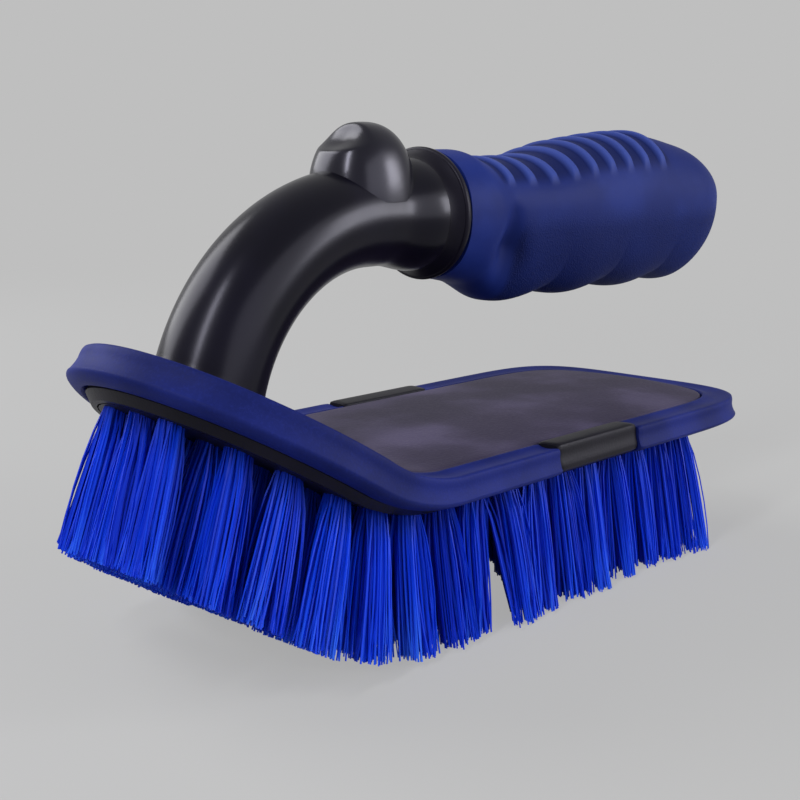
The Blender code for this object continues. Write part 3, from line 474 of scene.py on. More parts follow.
def makeCover():
    # The crowned top, a quarter circle of rounding, the side and the flat underside
    inset, soft, reach = cover["inset"], cover["rounding"], head["halfWidth"]
    turn = np.linspace(0.0, math.pi / 2, cover["corner"])[1:]
    top = np.linspace(reach, inset + soft, cover["across"])
    edge = inset + soft * (1.0 - np.sin(turn))
    insets = np.concatenate([top, edge, np.linspace(inset, reach, cover["under"])])
    corner = slice(len(top), len(top) + len(turn))

    def heights(s, y):
        h = coverTop(s, y)
        h[:, corner] -= soft * (1.0 - np.cos(turn))
        h[:, corner.stop:] = cover["base"]
        return h

    makePiece("topPlate", plateShape(insets, heights), "cover", ["head_cover"])


bumper = dict(
    base=0.0300, height=0.0062, width=0.0042, topWidth=0.0070, skin=0.0023, lip=0.0016,
    lipFlare=0.00012, waist=0.0008, crest=0.0001, valley=0.0004, valleyFront=0.0008,
    valleyBack=0.0010, cornerBack=0.0003, cornerDrop=0.0002, frontEndX=-0.0150, rearStartX=0.0140,
)


def bumperSection():
    # Insets and heights of the rubber's section: flared lip, waist, shoulder, valley and flange
    low, lip, top = bumper["base"], bumper["base"] + bumper["lip"], bumper["base"] + bumper["height"]
    soft, waist, crest, inner = bumper["lip"] / 2, bumper["waist"], bumper["crest"], bumper["topWidth"]
    middle, valley = (waist + soft + inner) / 2, top - bumper["valley"]
    seat = head["blockTop"] + head["gap"]
    return rounded([
        (bumper["skin"], low), (soft * 0.4, lip - soft * 0.9), (-bumper["lipFlare"], lip),
        (soft * 0.3, lip + soft * 0.6), (waist, (lip + top) / 2), (waist - crest, top - soft),
        (waist + soft * 0.3, top + crest), (middle - bumper["valleyFront"], valley),
        (middle + bumper["valleyBack"], valley), (inner - bumper["cornerBack"], top + crest),
        (inner, top - bumper["cornerDrop"]), (inner, seat), (bumper["width"], seat),
        (bumper["width"], low),
    ])


def makeBumpers():
    # Each runs from its end on the near side to the tip of the head and back on the far side
    section = bumperSection()
    line = sideLine([bumper["frontEndX"], bumper["rearStartX"]])
    x = rimPlaces(line, np.zeros(1))[0][:, 0]
    front = line[:, x <= bumper["frontEndX"] + tiny][:, ::-1]
    rear = line[:, x >= bumper["rearStartX"] - tiny]
    for name, node, half in (("frontBumper", "front_bumper", front),
                             ("rearBumper", "rear_bumper", rear)):
        path = np.hstack([half * nearSide, half[:, -2::-1]])
        makePiece(name, stripShape(section, path), "bumper", [node])


base = dict(
    inset=0.0045, skirt=0.0018, field=0.0075, heelExtra=0.0017, roof=0.0315, fold=0.004,
    lugRise=0.0007, lugSetback=0.0006, lugBury=0.001, lugCrown=0.0004, lugDrop=0.0002,
    lugCorner=0.0006, lugSteps=22, lugEnd=0.0003,
)


def lugSection():
    low, lip, soft = bumper["base"], bumper["base"] + bumper["lip"], bumper["lip"] / 2
    top, seat = bumper["base"] + bumper["height"] + base["lugRise"], head["blockTop"] - soft / 4
    back, waist, inner = base["lugSetback"], base["lugSetback"] + bumper["waist"], bumper["topWidth"]
    inside = base["inset"] + base["lugBury"]
    return rounded([
        (inside, low + soft / 2), (back + soft * 2, low + soft / 2), (back, lip),
        (waist, (lip + top) / 2), (waist, top - soft), (waist + soft / 2, top),
        (inner - base["lugCrown"], top - base["lugDrop"]), (inner, top - base["lugCorner"]),
        (inner, seat), (inside, seat),
    ])


def makeBase():
    # The block under the rubber: flat top, side, sloping skirt and the recess for the bristles
    reach, inset, field, fold = head["halfWidth"], base["inset"], base["field"], base["fold"]
    top, low, roof = head["blockTop"], head["blockBase"], base["roof"]
    insets = np.array([reach, inset + fold, inset, inset, inset + base["skirt"], field, field,
                       field + fold, reach])
    heights = np.array([top, top, top, bumper["base"], low, low, roof, roof, roof])
    heelExtra = np.where(np.isin(np.arange(len(insets)), (5, 6, 7)), base["heelExtra"], 0.0)
    # The side lugs fill the openings between the bumpers
    x = np.linspace(bumper["frontEndX"] + head["gap"], bumper["rearStartX"] - head["gap"],
                    base["lugSteps"])
    x = np.sort(np.append(x, [x[0] + base["lugEnd"], x[-1] - base["lugEnd"]]))
    blank = np.zeros(len(x))
    sides = [np.stack([x, blank, blank, blank + side]) for side in (-1.0, 1.0)]
    lugs = [stripShape(lugSection(), side) for side in sides]
    shape = together([plateShape(insets, heights, heelExtra), *lugs])
    makePiece("headBase", shape, "base", ["head_block"])


makeCover()
makeBumpers()
makeBase()
print("head made")


# Bristles

bristles = dict(
    field=0.0075, heelMargin=0.0092, gap=0.0003, bedTop=0.0312, bedFold=0.003,
    rowPitch=0.0096, tuftPitch=0.0080, tuftEdge=0.00222, fewestTufts=3, tuftRoom=0.75,
    perTuft=136, radius=0.00022, thickness=(0.85, 1.15), tipShare=0.82, rings=6,
    tuftRadius=0.0024, rootStretch=0.45, stretchLength=0.05, rootDepth=0.0004,
    goldenTurn=2.39996, shake=0.07, clumps=5, clumpReach=0.75, clumping=0.30,
    spread=0.0028, opening=0.6, wander=0.0006, bend=0.0010, bendHeight=1.6,
    strays=0.25, strayReach=1.5, toeRows=0.85, outerEdge=0.0060, toeSpread=0.15, toeHold=6,
    sideLean=math.radians(10.5), toeLean=math.radians(-10.0),
    overrun=0.0001, toeTrim=0.0022, uneven=0.0011, tuftUneven=0.4,
    floorGap=0.00005, floorUneven=0.0009, frontGap=0.0004,
    partX=-0.0307, partY=-0.0330, partTurn=math.radians(46.8), partPush=0.0024, partReach=0.0050,
    partDepth=0.034,
    tuftTone=0.35, clumpTone=0.3, strandTone=0.35, sharpFrom=60.0, seed=7,
    firstRows=dict(toeBristles=0, frontBristles=5, backBristles=9, heelBristles=13),
)


fieldInset = bristles["field"] + bristles["gap"]


def fieldLine():
    # The edge of the bristle bed: the head's edge with its heel brought in, inset by the margin
    line = sideLine()
    s, y = rimPlaces(line, np.array([fieldInset]))
    extra = np.where(line[1] > 0, bristles["heelMargin"] - bristles["field"], 0.0)
    return s[:, 0] - extra * line[1], y[:, 0]


fieldS, fieldW = fieldLine()


def tuftPlaces():
    # Rows at even steps along the bed, tufts at even steps across each row
    pitch, rows = bristles["tuftPitch"], round((fieldS[-1] - fieldS[0]) / bristles["rowPitch"])
    bounds = np.linspace(fieldS[0], fieldS[-1], rows + 1)
    places = []
    for row in range(rows):
        s = (bounds[row] + bounds[row + 1]) / 2
        reach = float(np.interp(s, fieldS, fieldW)) - bristles["tuftEdge"]
        count = 2 * int(reach / pitch) + 1
        spare = reach - (count - 1) / 2 * pitch
        if count < bristles["fewestTufts"] or spare > pitch * bristles["tuftRoom"]:
            count += 1
        step = min(pitch, 2 * reach / (count - 1))
        toeShare = max(0.0, 1.0 - 2.0 * row / (rows + 1))
        places += [(s, (i - (count - 1) / 2) * step, toeShare, row) for i in range(count)]
    return np.array(places)


def spotsInTuft(count, chance):
    # Places on a unit disc. Roots lie on a sunflower pattern, a little shaken, and tips are drawn
    # towards the nearest of a few clumps.
    per, reach = bristles["perTuft"], bristles["clumpReach"]
    number = np.arange(per)
    angle = number * bristles["goldenTurn"] + chance.uniform(0, 2 * math.pi, (count, 1))
    out = np.sqrt((number + 0.5) / per) * np.ones((count, 1))
    spot = np.stack([np.cos(angle), np.sin(angle)], axis=-1) * out[..., None]
    spot += chance.normal(0.0, bristles["shake"], spot.shape)
    centres = chance.uniform(-reach, reach, (count, bristles["clumps"], 2))
    nearest = np.linalg.norm(spot[:, :, None] - centres[:, None], axis=-1).argmin(axis=2)
    clump = np.take_along_axis(centres, nearest[..., None], axis=1)
    return spot, spot + (clump - spot) * bristles["clumping"], nearest


def parting(s, y, tip):
    # One parting runs in from the near side, slantwise: tips stand away from its line, each to its
    # own side, by push * exp(-(distance / reach)^2), and less the further in they are
    over, along = math.cos(bristles["partTurn"]), math.sin(bristles["partTurn"])
    beyond = y + tip[..., 1] - bristles["partY"]
    beside = (s + tip[..., 0] - bristles["partX"]) * over - beyond * along
    near = 1.0 - smoothStep(beyond, bristles["partDepth"] * 0.5, bristles["partDepth"])
    push = bristles["partPush"] * near * np.exp(-(beside / bristles["partReach"]) ** 2)
    push = push * np.sign(beside)
    return np.stack([push * over, -push * along], axis=-1)


def strandPaths(tufts, lastRow, chance):
    # Each strand leans with its tuft, spreads with its distance from the tuft's middle, curls by the
    # square of its height and ends at the trimmed line
    spot, tipSpot, nearest = spotsInTuft(len(tufts), chance)
    s, y, toeShare, row = (tufts[:, i, None] for i in range(4))
    turn = np.minimum(np.maximum(head["bendX"] - s, 0.0) / head["bendRadius"], head["bendAngle"])
    lean = -math.tan(bristles["toeLean"]) * toeShare ** 2
    side = math.tan(bristles["sideLean"]) * y / (head["halfWidth"] - fieldInset)
    drop = head["blockBase"] + bristles["overrun"] - bristles["toeTrim"] * toeShare
    drop = drop - chance.uniform(0.0, 1.0, nearest.shape) ** 2 * bristles["uneven"]
    drop = drop - chance.uniform(0.0, bristles["tuftUneven"], s.shape) * bristles["uneven"]
    leaning = np.stack([lean * drop, side * drop], axis=-1)
    wander = chance.normal(0.0, bristles["wander"], (len(tufts), 1, 2))
    # Roots stretch a little along the head behind the toe's bend
    flat = smoothStep(s, head["bendX"], head["bendX"] + bristles["stretchLength"])
    wide = 1.0 + bristles["rootStretch"] * flat
    root = spot * bristles["tuftRadius"] * np.stack([wide, np.ones_like(wide)], axis=-1)
    tip = tipSpot * (bristles["tuftRadius"] + bristles["spread"]) + wander
    # A share of the strands strays further and closes the gaps between the tufts, but not outwards
    beforeEdge = np.interp(s, fieldS, fieldW) - bristles["outerEdge"]
    outer = np.stack([1.0 * (row >= lastRow) - 1.0 * (toeShare > bristles["toeRows"]),
                      np.sign(y) * (np.abs(y) > beforeEdge)], axis=-1)
    stray = chance.uniform(0.0, 1.0, nearest.shape) < bristles["strays"]
    stray = stray[..., None] & (tip * outer <= 0)
    tip = tip * np.where(stray, bristles["strayReach"], 1.0)
    # The outermost strands of the toe stay closer together
    held = (1.0 - bristles["toeSpread"]) * toeShare ** bristles["toeHold"]
    tip[..., 0] *= np.where(tip[..., 0] < 0, 1.0 - held, 1.0)
    tip = tip + leaning
    tip = tip + parting(s, y, tip)
    curl = chance.normal(0.0, bristles["bend"], spot.shape) * bristles["bendHeight"]
    # The tuft opens quickly below its root: its own width grows as share^opening
    share = np.linspace(0.0, 1.0, bristles["rings"])[:, None, None]
    opened = root + (tip - leaning - root) * (share ** bristles["opening"])[..., None]
    along = opened + leaning * share[..., None] + curl * (share * (share - 1.0))[..., None]
    down = bristles["rootDepth"] - (drop + bristles["rootDepth"]) * share
    middle = turnUp(tufts[:, 0], 0.0, head["blockBase"])[:, None]
    x = along[..., 0] * np.cos(turn) + down * np.sin(turn) + middle[..., 0]
    z = -along[..., 0] * np.sin(turn) + down * np.cos(turn) + middle[..., 2]
    points = np.stack([x, along[..., 1] + y, z], axis=-1)
    return points.reshape(bristles["rings"], -1, 3), nearest


def trimmed(points, chance):
    # Strands that would pass the floor or the solids' box end just inside it
    uneven = chance.uniform(0.0, 1.0, points.shape[1]) ** 2 * bristles["floorUneven"]
    floor = cadLow.z + bristles["floorGap"] + uneven
    front = cadLow.x + bristles["frontGap"]
    root, tip = points[0], points[-1]
    keep = np.minimum(1.0, (root[:, 2] - floor) / np.maximum(root[:, 2] - tip[:, 2], 1e-6))
    toFront = (root[:, 0] - front) / (root[:, 0] - tip[:, 0])
    keep = np.minimum(keep, np.where(tip[:, 0] < front, toFront, 1.0))
    rings = bristles["rings"]
    spot = np.linspace(0.0, 1.0, rings)[:, None] * keep * (rings - 1)
    low = np.clip(spot.astype(int), 0, rings - 2)
    part = (spot - low)[..., None]
    column = np.arange(points.shape[1])
    return points[low, column] * (1 - part) + points[low + 1, column] * part


def strandMesh(points, chance):
    # A square section carried along each strand, narrower at the tip
    rings, strands = points.shape[:2]
    ahead = np.gradient(points, axis=0)
    ahead /= np.linalg.norm(ahead, axis=-1, keepdims=True)
    across = np.cross(ahead, np.array([0.0, 1.0, 0.0]))
    across /= np.linalg.norm(across, axis=-1, keepdims=True)
    other = np.cross(ahead, across)
    corner = np.arange(4)
    spin = chance.uniform(0, math.pi, strands)[:, None] + corner * math.pi / 2
    thick = bristles["radius"] * chance.uniform(*bristles["thickness"], strands)
    taper = np.linspace(1.0, bristles["tipShare"], rings)[:, None] * thick
    ring = (np.cos(spin)[None, ..., None] * across[:, :, None]
            + np.sin(spin)[None, ..., None] * other[:, :, None])
    vertices = points[:, :, None] + ring * taper[..., None, None]
    size = rings * len(corner)
    ends = np.stack([corner, size - 1 - corner])
    faces = np.vstack([gridFaces(rings, len(corner), True)[:, ::-1], ends])
    faces = faces[None] + (np.arange(strands) * size)[:, None, None]
    return vertices.transpose(1, 0, 2, 3).reshape(-1, 3), faces.reshape(-1, 4).tolist()


def makeBristles():
    chance = np.random.default_rng(bristles["seed"])
    places = tuftPlaces()
    lastRow = int(places[:, 3].max())
    starts = bristles["firstRows"]
    for name, first, end in zip(starts, starts.values(), [*starts.values()][1:] + [lastRow + 1]):
        tufts = places[(places[:, 3] >= first) & (places[:, 3] < end)]
        points, nearest = strandPaths(tufts, lastRow, chance)
        shape = strandMesh(trimmed(points, chance), chance)
        tone = (bristles["tuftTone"] * chance.uniform(0, 1, (len(tufts), 1))
                + bristles["clumpTone"] * (nearest % 2)
                + bristles["strandTone"] * chance.uniform(0, 1, nearest.shape)).reshape(-1)
        corners = len(shape[0]) // len(tone) // bristles["rings"]
        reach = np.repeat(np.linspace(0, 1, bristles["rings"]), corners)
        layers = {"tone": np.repeat(tone, len(reach)), "reach": np.tile(reach, len(tone))}
        nodes = [f"tuft_row_{row + 1:02d}" for row in range(first, end)]
        makePiece(name, shape, "bristle", nodes, bristles["sharpFrom"], layers,
                  weld=False)


def makeBed():
    # The dark plate that the tufts are set in, flush with the underside of the block
    reach, fold = head["halfWidth"], fieldInset + bristles["bedFold"]
    insets = np.array([reach, fold, fieldInset, fieldInset, fold, reach])
    heights = np.array([bristles["bedTop"]] * 3 + [head["blockBase"]] * 3)
    heelExtra = np.array([0.0, 1.0, 1.0, 1.0, 1.0, 0.0]) * (bristles["heelMargin"] - bristles["field"])
    makePiece("bristleBed", plateShape(insets, heights, heelExtra), "base", [])


makeBristles()
makeBed()
print("bristles made")


# Arm, stop and collar

arm = dict(
    radius=0.0101, footRadius=0.0107, axisZ=0.0824, bendRadius=0.0411, bendX=-0.0380,
    neckStartX=-0.0340, neckEndX=-0.0235, neckRadius=0.0118, tangRadius=0.0080, tangEndX=0.0665,
    bury=0.0004, fillet=0.0009, filletShare=0.7,
    around=72, trials=400, bendSteps=70, levelSteps=6, neckSteps=12, tangSteps=12, passes=4,
)


def armPoint(run, angle, swell=0.0):
    # run 0 to 1 is the quarter bend, from straight up to level; beyond 1 it is metres along the
    # level part. The section is a circle of the local radius round the centre line.
    run, angle = np.broadcast_arrays(run, angle)
    turn = np.minimum(run, 1.0) * math.pi / 2
    ahead = np.maximum(run - 1.0, 0.0)
    x = arm["bendX"] + ahead
    neck = smoothStep(x, arm["neckStartX"], arm["neckEndX"])
    radius = np.where(run < 1.0, arm["footRadius"] + (arm["radius"] - arm["footRadius"]) * run,
                      arm["radius"] + (arm["neckRadius"] - arm["radius"]) * neck)
    radius = np.where(x > arm["neckEndX"] + tiny, arm["tangRadius"], radius) + swell
    reach = arm["bendRadius"] + radius * np.cos(angle)
    x = arm["bendX"] - reach * np.cos(turn) + ahead + shift
    z = arm["axisZ"] - arm["bendRadius"] + reach * np.sin(turn)
    return np.stack([x, radius * np.sin(angle), z], axis=-1)


def plateHeight(x, y):
    # Height of the toe's top at a place in plan, on the straight part beyond the bend. It is found
    # in a few passes, because the crown depends on the place along it.
    angle = head["bendAngle"]
    h = np.full_like(x, cover["edge"])
    for _ in range(arm["passes"]):
        over = head["toeThickening"] * (h - head["blockBase"])
        reach = bendCentreZ - h - over
        straight = (head["bendX"] - (x - shift) - reach * math.sin(angle)) / math.cos(angle)
        s = head["bendX"] - head["bendRadius"] * angle - straight
        h = coverTop(s, y)
    return bendCentreZ - reach * math.cos(angle) + straight * math.sin(angle)


def makeArm():
    # The bend starts where each line of the tube meets the toe's top
    angle = wholeTurn(arm["around"])
    trial = np.linspace(0.0, 1.0, arm["trials"])[:, None]
    places = armPoint(trial, angle)
    above = places[..., 2] - plateHeight(places[..., 0], places[..., 1]) + arm["bury"]
    first = trial[(above > 0).argmax(axis=0), 0]
    bend = first + (1.0 - first) * np.linspace(0.0, 1.0, arm["bendSteps"])[:, None]
    level = np.linspace(arm["bendX"], arm["neckStartX"], arm["levelSteps"])[1:]
    neck = np.linspace(arm["neckStartX"], arm["neckEndX"], arm["neckSteps"])[1:]
    level = 1.0 + np.concatenate([level, neck])[:, None] - arm["bendX"]
    run = np.vstack([bend, np.broadcast_to(level, (len(level), len(angle)))])
    # A small fillet at the foot: the radius grows by the rise of a quarter circle
    away = np.clip((run - first) * arm["bendRadius"] * math.pi / 2 / (arm["fillet"] * 2), 0.0, 1.0)
    swell = arm["fillet"] * (1.0 - np.sqrt(1.0 - (1.0 - away) ** 2)) * arm["filletShare"]
    shell = armPoint(run, angle, swell)
    tang = np.linspace(arm["neckEndX"] + tiny * 2, arm["tangEndX"], arm["tangSteps"])[:, None]
    tang = armPoint(1.0 + tang - arm["bendX"], angle)
    tang[0, :, 0] = shell[-1, :, 0]
    makePiece("armTube", capped(np.concatenate([shell, tang])), "arm", ["arm"])


collar = dict(startX=-0.0232, length=0.0042, radius=0.0139, rounding=0.0010, rimStart=1.6,
              rimRise=0.6, rimFall=0.5, flarePower=1.5, bore=0.0083, steps=9, around=96)


def turned(profile, angle):
    # A profile of places along the arm and radii, turned about the arm's axis
    x, radius = profile[:, :1] + shift, profile[:, 1:]
    z = arm["axisZ"] + radius * np.cos(angle)
    return np.stack(np.broadcast_arrays(x, radius * np.sin(angle), z), axis=-1)


def makeCollar():
    # The radius grows as share^1.5 from the neck, then quarter circles round the rim
    start, end = collar["startX"], collar["startX"] + collar["length"]
    low, high, soft = arm["neckRadius"] - arm["bury"] / 2, collar["radius"], collar["rounding"]
    rise, fall = soft * collar["rimRise"], soft * collar["rimFall"]
    share = np.linspace(0.0, 1.0, collar["steps"])[:, None]
    turn = share * math.pi / 2
    flare = np.hstack([start + (end - soft * collar["rimStart"] - start) * share,
                       low + (high - rise - low) * share ** collar["flarePower"]])
    crown = np.hstack([end - soft - rise * np.cos(turn), high - rise * (1.0 - np.sin(turn))])
    back = np.hstack([end - soft * (1.0 - np.sin(turn)), high - fall * (1.0 - np.cos(turn))])
    front, rear = [(start, collar["bore"])], [(end, collar["bore"])]
    profile = np.vstack([front, flare, crown[1:], back[1:], rear])
    points = turned(profile, wholeTurn(collar["around"]))
    shape = capped(np.concatenate([points, points[:1]]), ends=False)
    makePiece("neckCollar", shape, "collar", ["neck_collar"])


stop = dict(
    x=-0.0371, length=0.0218, width=0.0195, rise=0.0188, squareness=2.3, baseRise=0.0035, bury=0.0002,
    dishX=-0.0062, dishRise=0.0164, dishLean=math.radians(45.0), dishHalfWidth=0.0066,
    dishHalfHeight=0.0046, dishDepth=0.0020, dishPower=1.3, dishFade=0.0045, around=160, up=120,
)


def makeStop():
    # A superellipsoid, |x|^n + |y|^n + |z|^n = 1 in its half sizes. An oval dish is pressed into its
    # front: with q = (across / half width)^2 + (up the slope / half height)^2 it sinks by
    # depth * (1 - q)^1.3, and the dish fades out towards the stop's middle.
    power, lean = stop["squareness"], stop["dishLean"]
    around = wholeTurn(stop["around"])
    up = np.linspace(-math.pi / 2, math.pi / 2, stop["up"])[:, None]
    level = np.cos(up) * np.cos(around), np.cos(up) * np.sin(around)
    sphere = np.stack(np.broadcast_arrays(*level, np.sin(up)), axis=-1)
    size = (np.abs(sphere) ** power).sum(axis=-1, keepdims=True) ** (1 / power)
    rise = stop["rise"] - stop["baseRise"]
    points = sphere / size * np.array([stop["length"] / 2, stop["width"] / 2, rise])
    slope = ((points[..., 0] - stop["dishX"]) * math.cos(lean)
             + (points[..., 2] + stop["baseRise"] - stop["dishRise"]) * math.sin(lean))
    q = (points[..., 1] / stop["dishHalfWidth"]) ** 2 + (slope / stop["dishHalfHeight"]) ** 2
    sink = stop["dishDepth"] * np.clip(1.0 - q, 0.0, 1.0) ** stop["dishPower"]
    sink = sink * smoothStep(-points[..., 0], 0.0, stop["dishFade"])
    points[..., 0] += sink * math.sin(lean)
    points[..., 2] -= sink * math.cos(lean)
    points[..., 2] = np.maximum(points[..., 2], -stop["bury"])
    points += np.array([stop["x"] + shift, 0.0, arm["axisZ"] + stop["baseRise"]])
    makePiece("thumbRest", capped(points), "stop", ["thumb_stop"])


makeArm()
makeCollar()
makeStop()
print("arm made")


# Grip. Its lines give heights or half widths at distances from its front end.

grip = dict(
    startX=-0.0187, length=0.1085, halfWidth=0.0150, topRise=0.0167, squareness=2.25,
    topLine=[(0.0, 0.0133), (0.0065, 0.0133), (0.0130, 0.0113), (0.0260, 0.0113), (0.0445, 0.0145),
             (0.0727, 0.0167), (0.0911, 0.0141), (0.1085, 0.0107)],
    bellyLine=[(0.0, 0.0136), (0.0096, 0.0156), (0.0192, 0.0201), (0.0240, 0.0206),
               (0.0846, 0.0206), (0.0976, 0.0184), (0.1085, 0.0126)],
    flankLine=[(0.0, 0.0136), (0.0087, 0.0141), (0.0163, 0.0129), (0.0434, 0.0150), (0.1085, 0.0150)],
    endCurve=0.0200, endTurn=math.radians(88.0), endSteps=60, bore=0.0083, boreDepth=0.0855,
    lobes=4, pitch=0.02205, firstLobe=0.0240, lobeDepth=0.0017,
    ribs=9, ribPitch=0.0071, firstRib=0.0155, ribHeight=0.0009,
    ribWave=(-0.05, 0.90), ribSide=(0.42, 0.64), ribEnds=(-0.6, -0.4),
    hollowX=0.0152, hollowWidth=0.0018, hollowSpread=0.0026, hollowDepth=0.0034,
    hollowTop=(-0.25, 0.50), hollowLow=(0.40, 1.0), hollowShade=0.8,
    panelX=0.0175, panelFade=0.002, panelSide=(-0.06, 0.24), sharpFrom=50.0,
    around=144, along=300,
)


def smoothThrough(points, x):
    # Cubic pieces through the points, level where the line turns
    px, pz = np.array(points).T
    steps = np.diff(pz) / np.diff(px)
    both = steps[1:] * steps[:-1]
    slopes = np.zeros(len(px))
    same = both > 0
    slopes[1:-1][same] = 2 * both[same] / (steps[1:] + steps[:-1])[same]
    slopes[0], slopes[-1] = steps[0], steps[-1]
    i = np.clip(np.searchsorted(px, x) - 1, 0, len(px) - 2)
    width = px[i + 1] - px[i]
    t = np.clip((x - px[i]) / width, 0.0, 1.0)
    return ((2 * t ** 3 - 3 * t ** 2 + 1) * pz[i] + (t ** 3 - 2 * t ** 2 + t) * width * slopes[i]
            + (3 * t ** 2 - 2 * t ** 3) * pz[i + 1] + (t ** 3 - t ** 2) * width * slopes[i + 1])


def gripStations():
    # Even steps, closing up over the rounded end as the sine of an even turn
    start = grip["length"] - grip["endCurve"]
    turn = np.linspace(0.0, grip["endTurn"], grip["endSteps"])
    return np.concatenate([np.linspace(0.0, start, grip["along"])[:-1],
                           start + grip["endCurve"] * np.sin(turn)])[:, None]


def gripLines(d):
    # Top, belly and flank, drawn in by the fall of a quarter ellipse over the rounded end. Finger
    # lobes: the belly draws in by depth * (1 - |cos|) between the lobes' middles.
    part = np.clip((d - grip["length"] + grip["endCurve"]) / grip["endCurve"], 0.0, 1.0)
    fall = np.sqrt(np.clip(1.0 - part ** 2, 0.0, 1.0))
    phase = (d - grip["firstLobe"]) / grip["pitch"]
    inLobes = (phase > 0) & (phase < grip["lobes"] - 1)
    dip = np.where(inLobes, grip["lobeDepth"] * (1.0 - np.abs(np.cos(math.pi * phase))), 0.0)
    belly = smoothThrough(grip["bellyLine"], d) - dip
    top, flank = (smoothThrough(grip[name], d) for name in ("topLine", "flankLine"))
    return top * fall, belly * fall, flank * fall


def gripRelief(d, height):
    # Shares of rib crests, grooves and the hollow, by the distance and the height round the grip
    phase = (d - grip["firstRib"]) / grip["ribPitch"]
    wave = smoothStep(np.cos(2 * math.pi * phase), *grip["ribWave"])
    onRibs = smoothStep(np.minimum(phase, grip["ribs"] - 1 - phase), *grip["ribEnds"])
    onRibs = onRibs * smoothStep(height, *grip["ribSide"])
    # The hollow behind the front flange on each side is wider and deeper towards the belly
    low = smoothStep(-height, *grip["hollowTop"])
    hollow = np.exp(-((d - grip["hollowX"]) / (grip["hollowWidth"] + grip["hollowSpread"] * low)) ** 2)
    hollow = hollow * low * (1.0 - smoothStep(-height, *grip["hollowLow"]))
    return wave * onRibs, (1.0 - wave) * onRibs, hollow


def makeGrip():
    # A superellipse at each station, swollen by the ribs and drawn in by the hollow
    d = gripStations()
    angle = wholeTurn(grip["around"])
    top, belly, flank = gripLines(d)
    crest, groove, hollow = gripRelief(d, np.cos(angle))
    swell = 1.0 + grip["ribHeight"] * crest / grip["topRise"]
    swell = swell - hollow * grip["hollowDepth"] / grip["halfWidth"]
    power = 2 / grip["squareness"]
    across = np.sign(np.sin(angle)) * np.abs(np.sin(angle)) ** power
    upward = np.sign(np.cos(angle)) * np.abs(np.cos(angle)) ** power
    y = flank * across * swell
    z = np.where(upward > 0, top, belly) * upward * swell + arm["axisZ"]
    skin = np.stack([np.broadcast_to(grip["startX"] + shift + d, y.shape), y, z], axis=-1)
    # The bore runs back inside from the far end to the front face
    front, depth, radius = grip["startX"], grip["boreDepth"], grip["bore"]
    bore = turned(np.array([(front + depth, 0.0), (front + depth, radius), (front, radius)]), angle)
    tip = np.broadcast_to(skin[-1].mean(axis=0), skin[-1:].shape)
    panel = smoothStep(-np.cos(angle), *grip["panelSide"])
    panel = panel * smoothStep(d, grip["panelX"], grip["panelX"] + grip["panelFade"])
    # The hollow's painted shade is carried in the groove layer
    groove = np.maximum(groove, hollow * grip["hollowShade"])
    blank = np.zeros(bore.shape[:2])
    layers = {label: np.vstack([blank, values, values[-1:]])
              for label, values in dict(panel=panel, crest=crest, groove=groove).items()}
    shape = capped(np.concatenate([bore, skin, tip]), ends=False)
    makePiece("gripSkin", shape, "grip", ["grip_sleeve"], grip["sharpFrom"], layers)


makeGrip()
for node in ("foot_screw_1", "foot_screw_2"):
    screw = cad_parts[node]
    screw.data.materials.clear()
    screw.data.materials.append(finishes["steel"])
print("grip made")


# Camera, floor and light

view = dict(place=(-0.21788, -0.18736, 0.09772), heading=-46.8, tilt=78.73, lens=58.84, sensor=36.0)
backdrop = dict(grey=0.521, floor=0.41, roughness=0.9, near=0.20, far=0.80, least=0.60, lift=0.21,
                size=12.0, sides=64, sky=(0.93, 0.95, 1.0, 1.0), skyLight=0.20)
lampAim = (0.0, 0.0, 0.05)
lamps = [  # name, direction from the brush, distance, width, height, watts
    ("keyLight", (-0.76, -0.17, 0.62), 0.9, 0.07, 0.50, 3.4),
    ("rightLight", (0.63, -0.72, 0.28), 1.0, 0.28, 0.38, 3.2),
    ("sideLight", (0.35, -0.90, 0.14), 1.4, 2.20, 1.50, 16.0),
    ("backLight", (-0.34, 0.77, 0.52), 1.0, 0.74, 0.72, 7.4),
]


def plainGrey(level):
    return (level, level, level, 1.0)


def rays(look, *kinds):
    return [look.node("ShaderNodeLightPath", output=f"Is {kind} Ray") for kind in kinds]


def makeCamera():
    data = bpy.data.cameras.new("photoView")
    data.lens, data.sensor_width = view["lens"], view["sensor"]
    camera = placed("photoView", data)
    camera.location = view["place"]
    camera.rotation_euler = Euler((math.radians(view["tilt"]), 0.0, math.radians(view["heading"])))
    bpy.context.scene.camera = camera


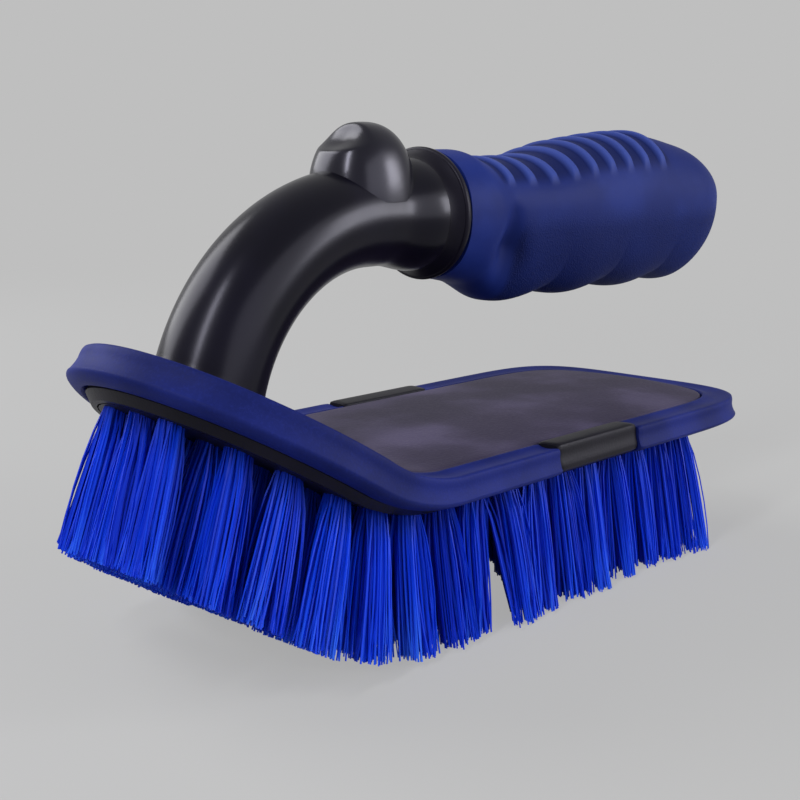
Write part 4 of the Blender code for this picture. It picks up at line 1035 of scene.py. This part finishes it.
def makeFloor():
    # A wide disc under the brush. Far away the camera sees the backdrop's own grey, and near the
    # brush a share of it, a little brighter, so that the floor keeps its shadow.
    sides = backdrop["sides"]
    turn = wholeTurn(sides)
    rim = np.stack([np.cos(turn), np.sin(turn), 0 * turn], axis=-1) * backdrop["size"]
    mesh = bpy.data.meshes.new("floor")
    mesh.from_pydata(rim.tolist(), [], [list(range(sides))])
    floor = placed("floor", mesh)
    look = Finish("floorFinish", Roughness=backdrop["roughness"], Specular_IOR_Level=0.0,
                  Base_Color=plainGrey(backdrop["floor"]))
    distance = look.node("ShaderNodeVectorMath", {"operation": "LENGTH"}, {0: look.place()}, "Value")
    seen, glossy = rays(look, "Camera", "Glossy")
    away = distance.between(backdrop["near"], backdrop["far"])
    share = (backdrop["least"] + away * (1 - backdrop["least"])) * (seen + glossy)
    level = 1.0 + (1.0 - away) * backdrop["lift"]
    colours = {"Color": plainGrey(backdrop["grey"]), "Strength": level}
    glow = look.node("ShaderNodeEmission", None, colours)
    surface = Line(look, look.shader.outputs[0])
    mixed = look.node("ShaderNodeMixShader", None, {0: share, 1: surface, 2: glow})
    look.feed(look.tree.nodes["Material Output"].inputs["Surface"], mixed)
    mesh.materials.append(look.material)


def makeWorld():
    # Soft light from all round, but the camera and reflections see the backdrop's grey
    world = bpy.data.worlds.new("studio")
    bpy.context.scene.world = world
    world.use_nodes = True
    look = Nodes(world.node_tree)
    look.tree.nodes.clear()
    seen, glossy, through = rays(look, "Camera", "Glossy", "Transmission")
    clamped = {"operation": "ADD", "use_clamp": True}
    share = look.node("ShaderNodeMath", clamped, {0: seen, 1: glossy + through})
    sky = {"Color": backdrop["sky"], "Strength": backdrop["skyLight"]}
    light = look.node("ShaderNodeBackground", None, sky)
    grey = look.node("ShaderNodeBackground", None, {"Color": plainGrey(backdrop["grey"])})
    mixed = look.node("ShaderNodeMixShader", None, {0: share, 1: light, 2: grey})
    look.feed(look.tree.nodes.new("ShaderNodeOutputWorld").inputs["Surface"], mixed)


def makeLamps():
    for name, direction, distance, width, height, watts in lamps:
        data = bpy.data.lights.new(name, "AREA")
        data.shape, data.size, data.size_y, data.energy = "RECTANGLE", width, height, watts
        lamp = placed(name, data)
        away = Vector(direction).normalized()
        lamp.location = Vector(lampAim) + away * distance
        lamp.rotation_euler = away.to_track_quat("Z", "Y").to_euler()


makeCamera()
makeFloor()
makeWorld()
makeLamps()
bpy.context.scene.view_settings.view_transform = "Standard"
print("stage made")
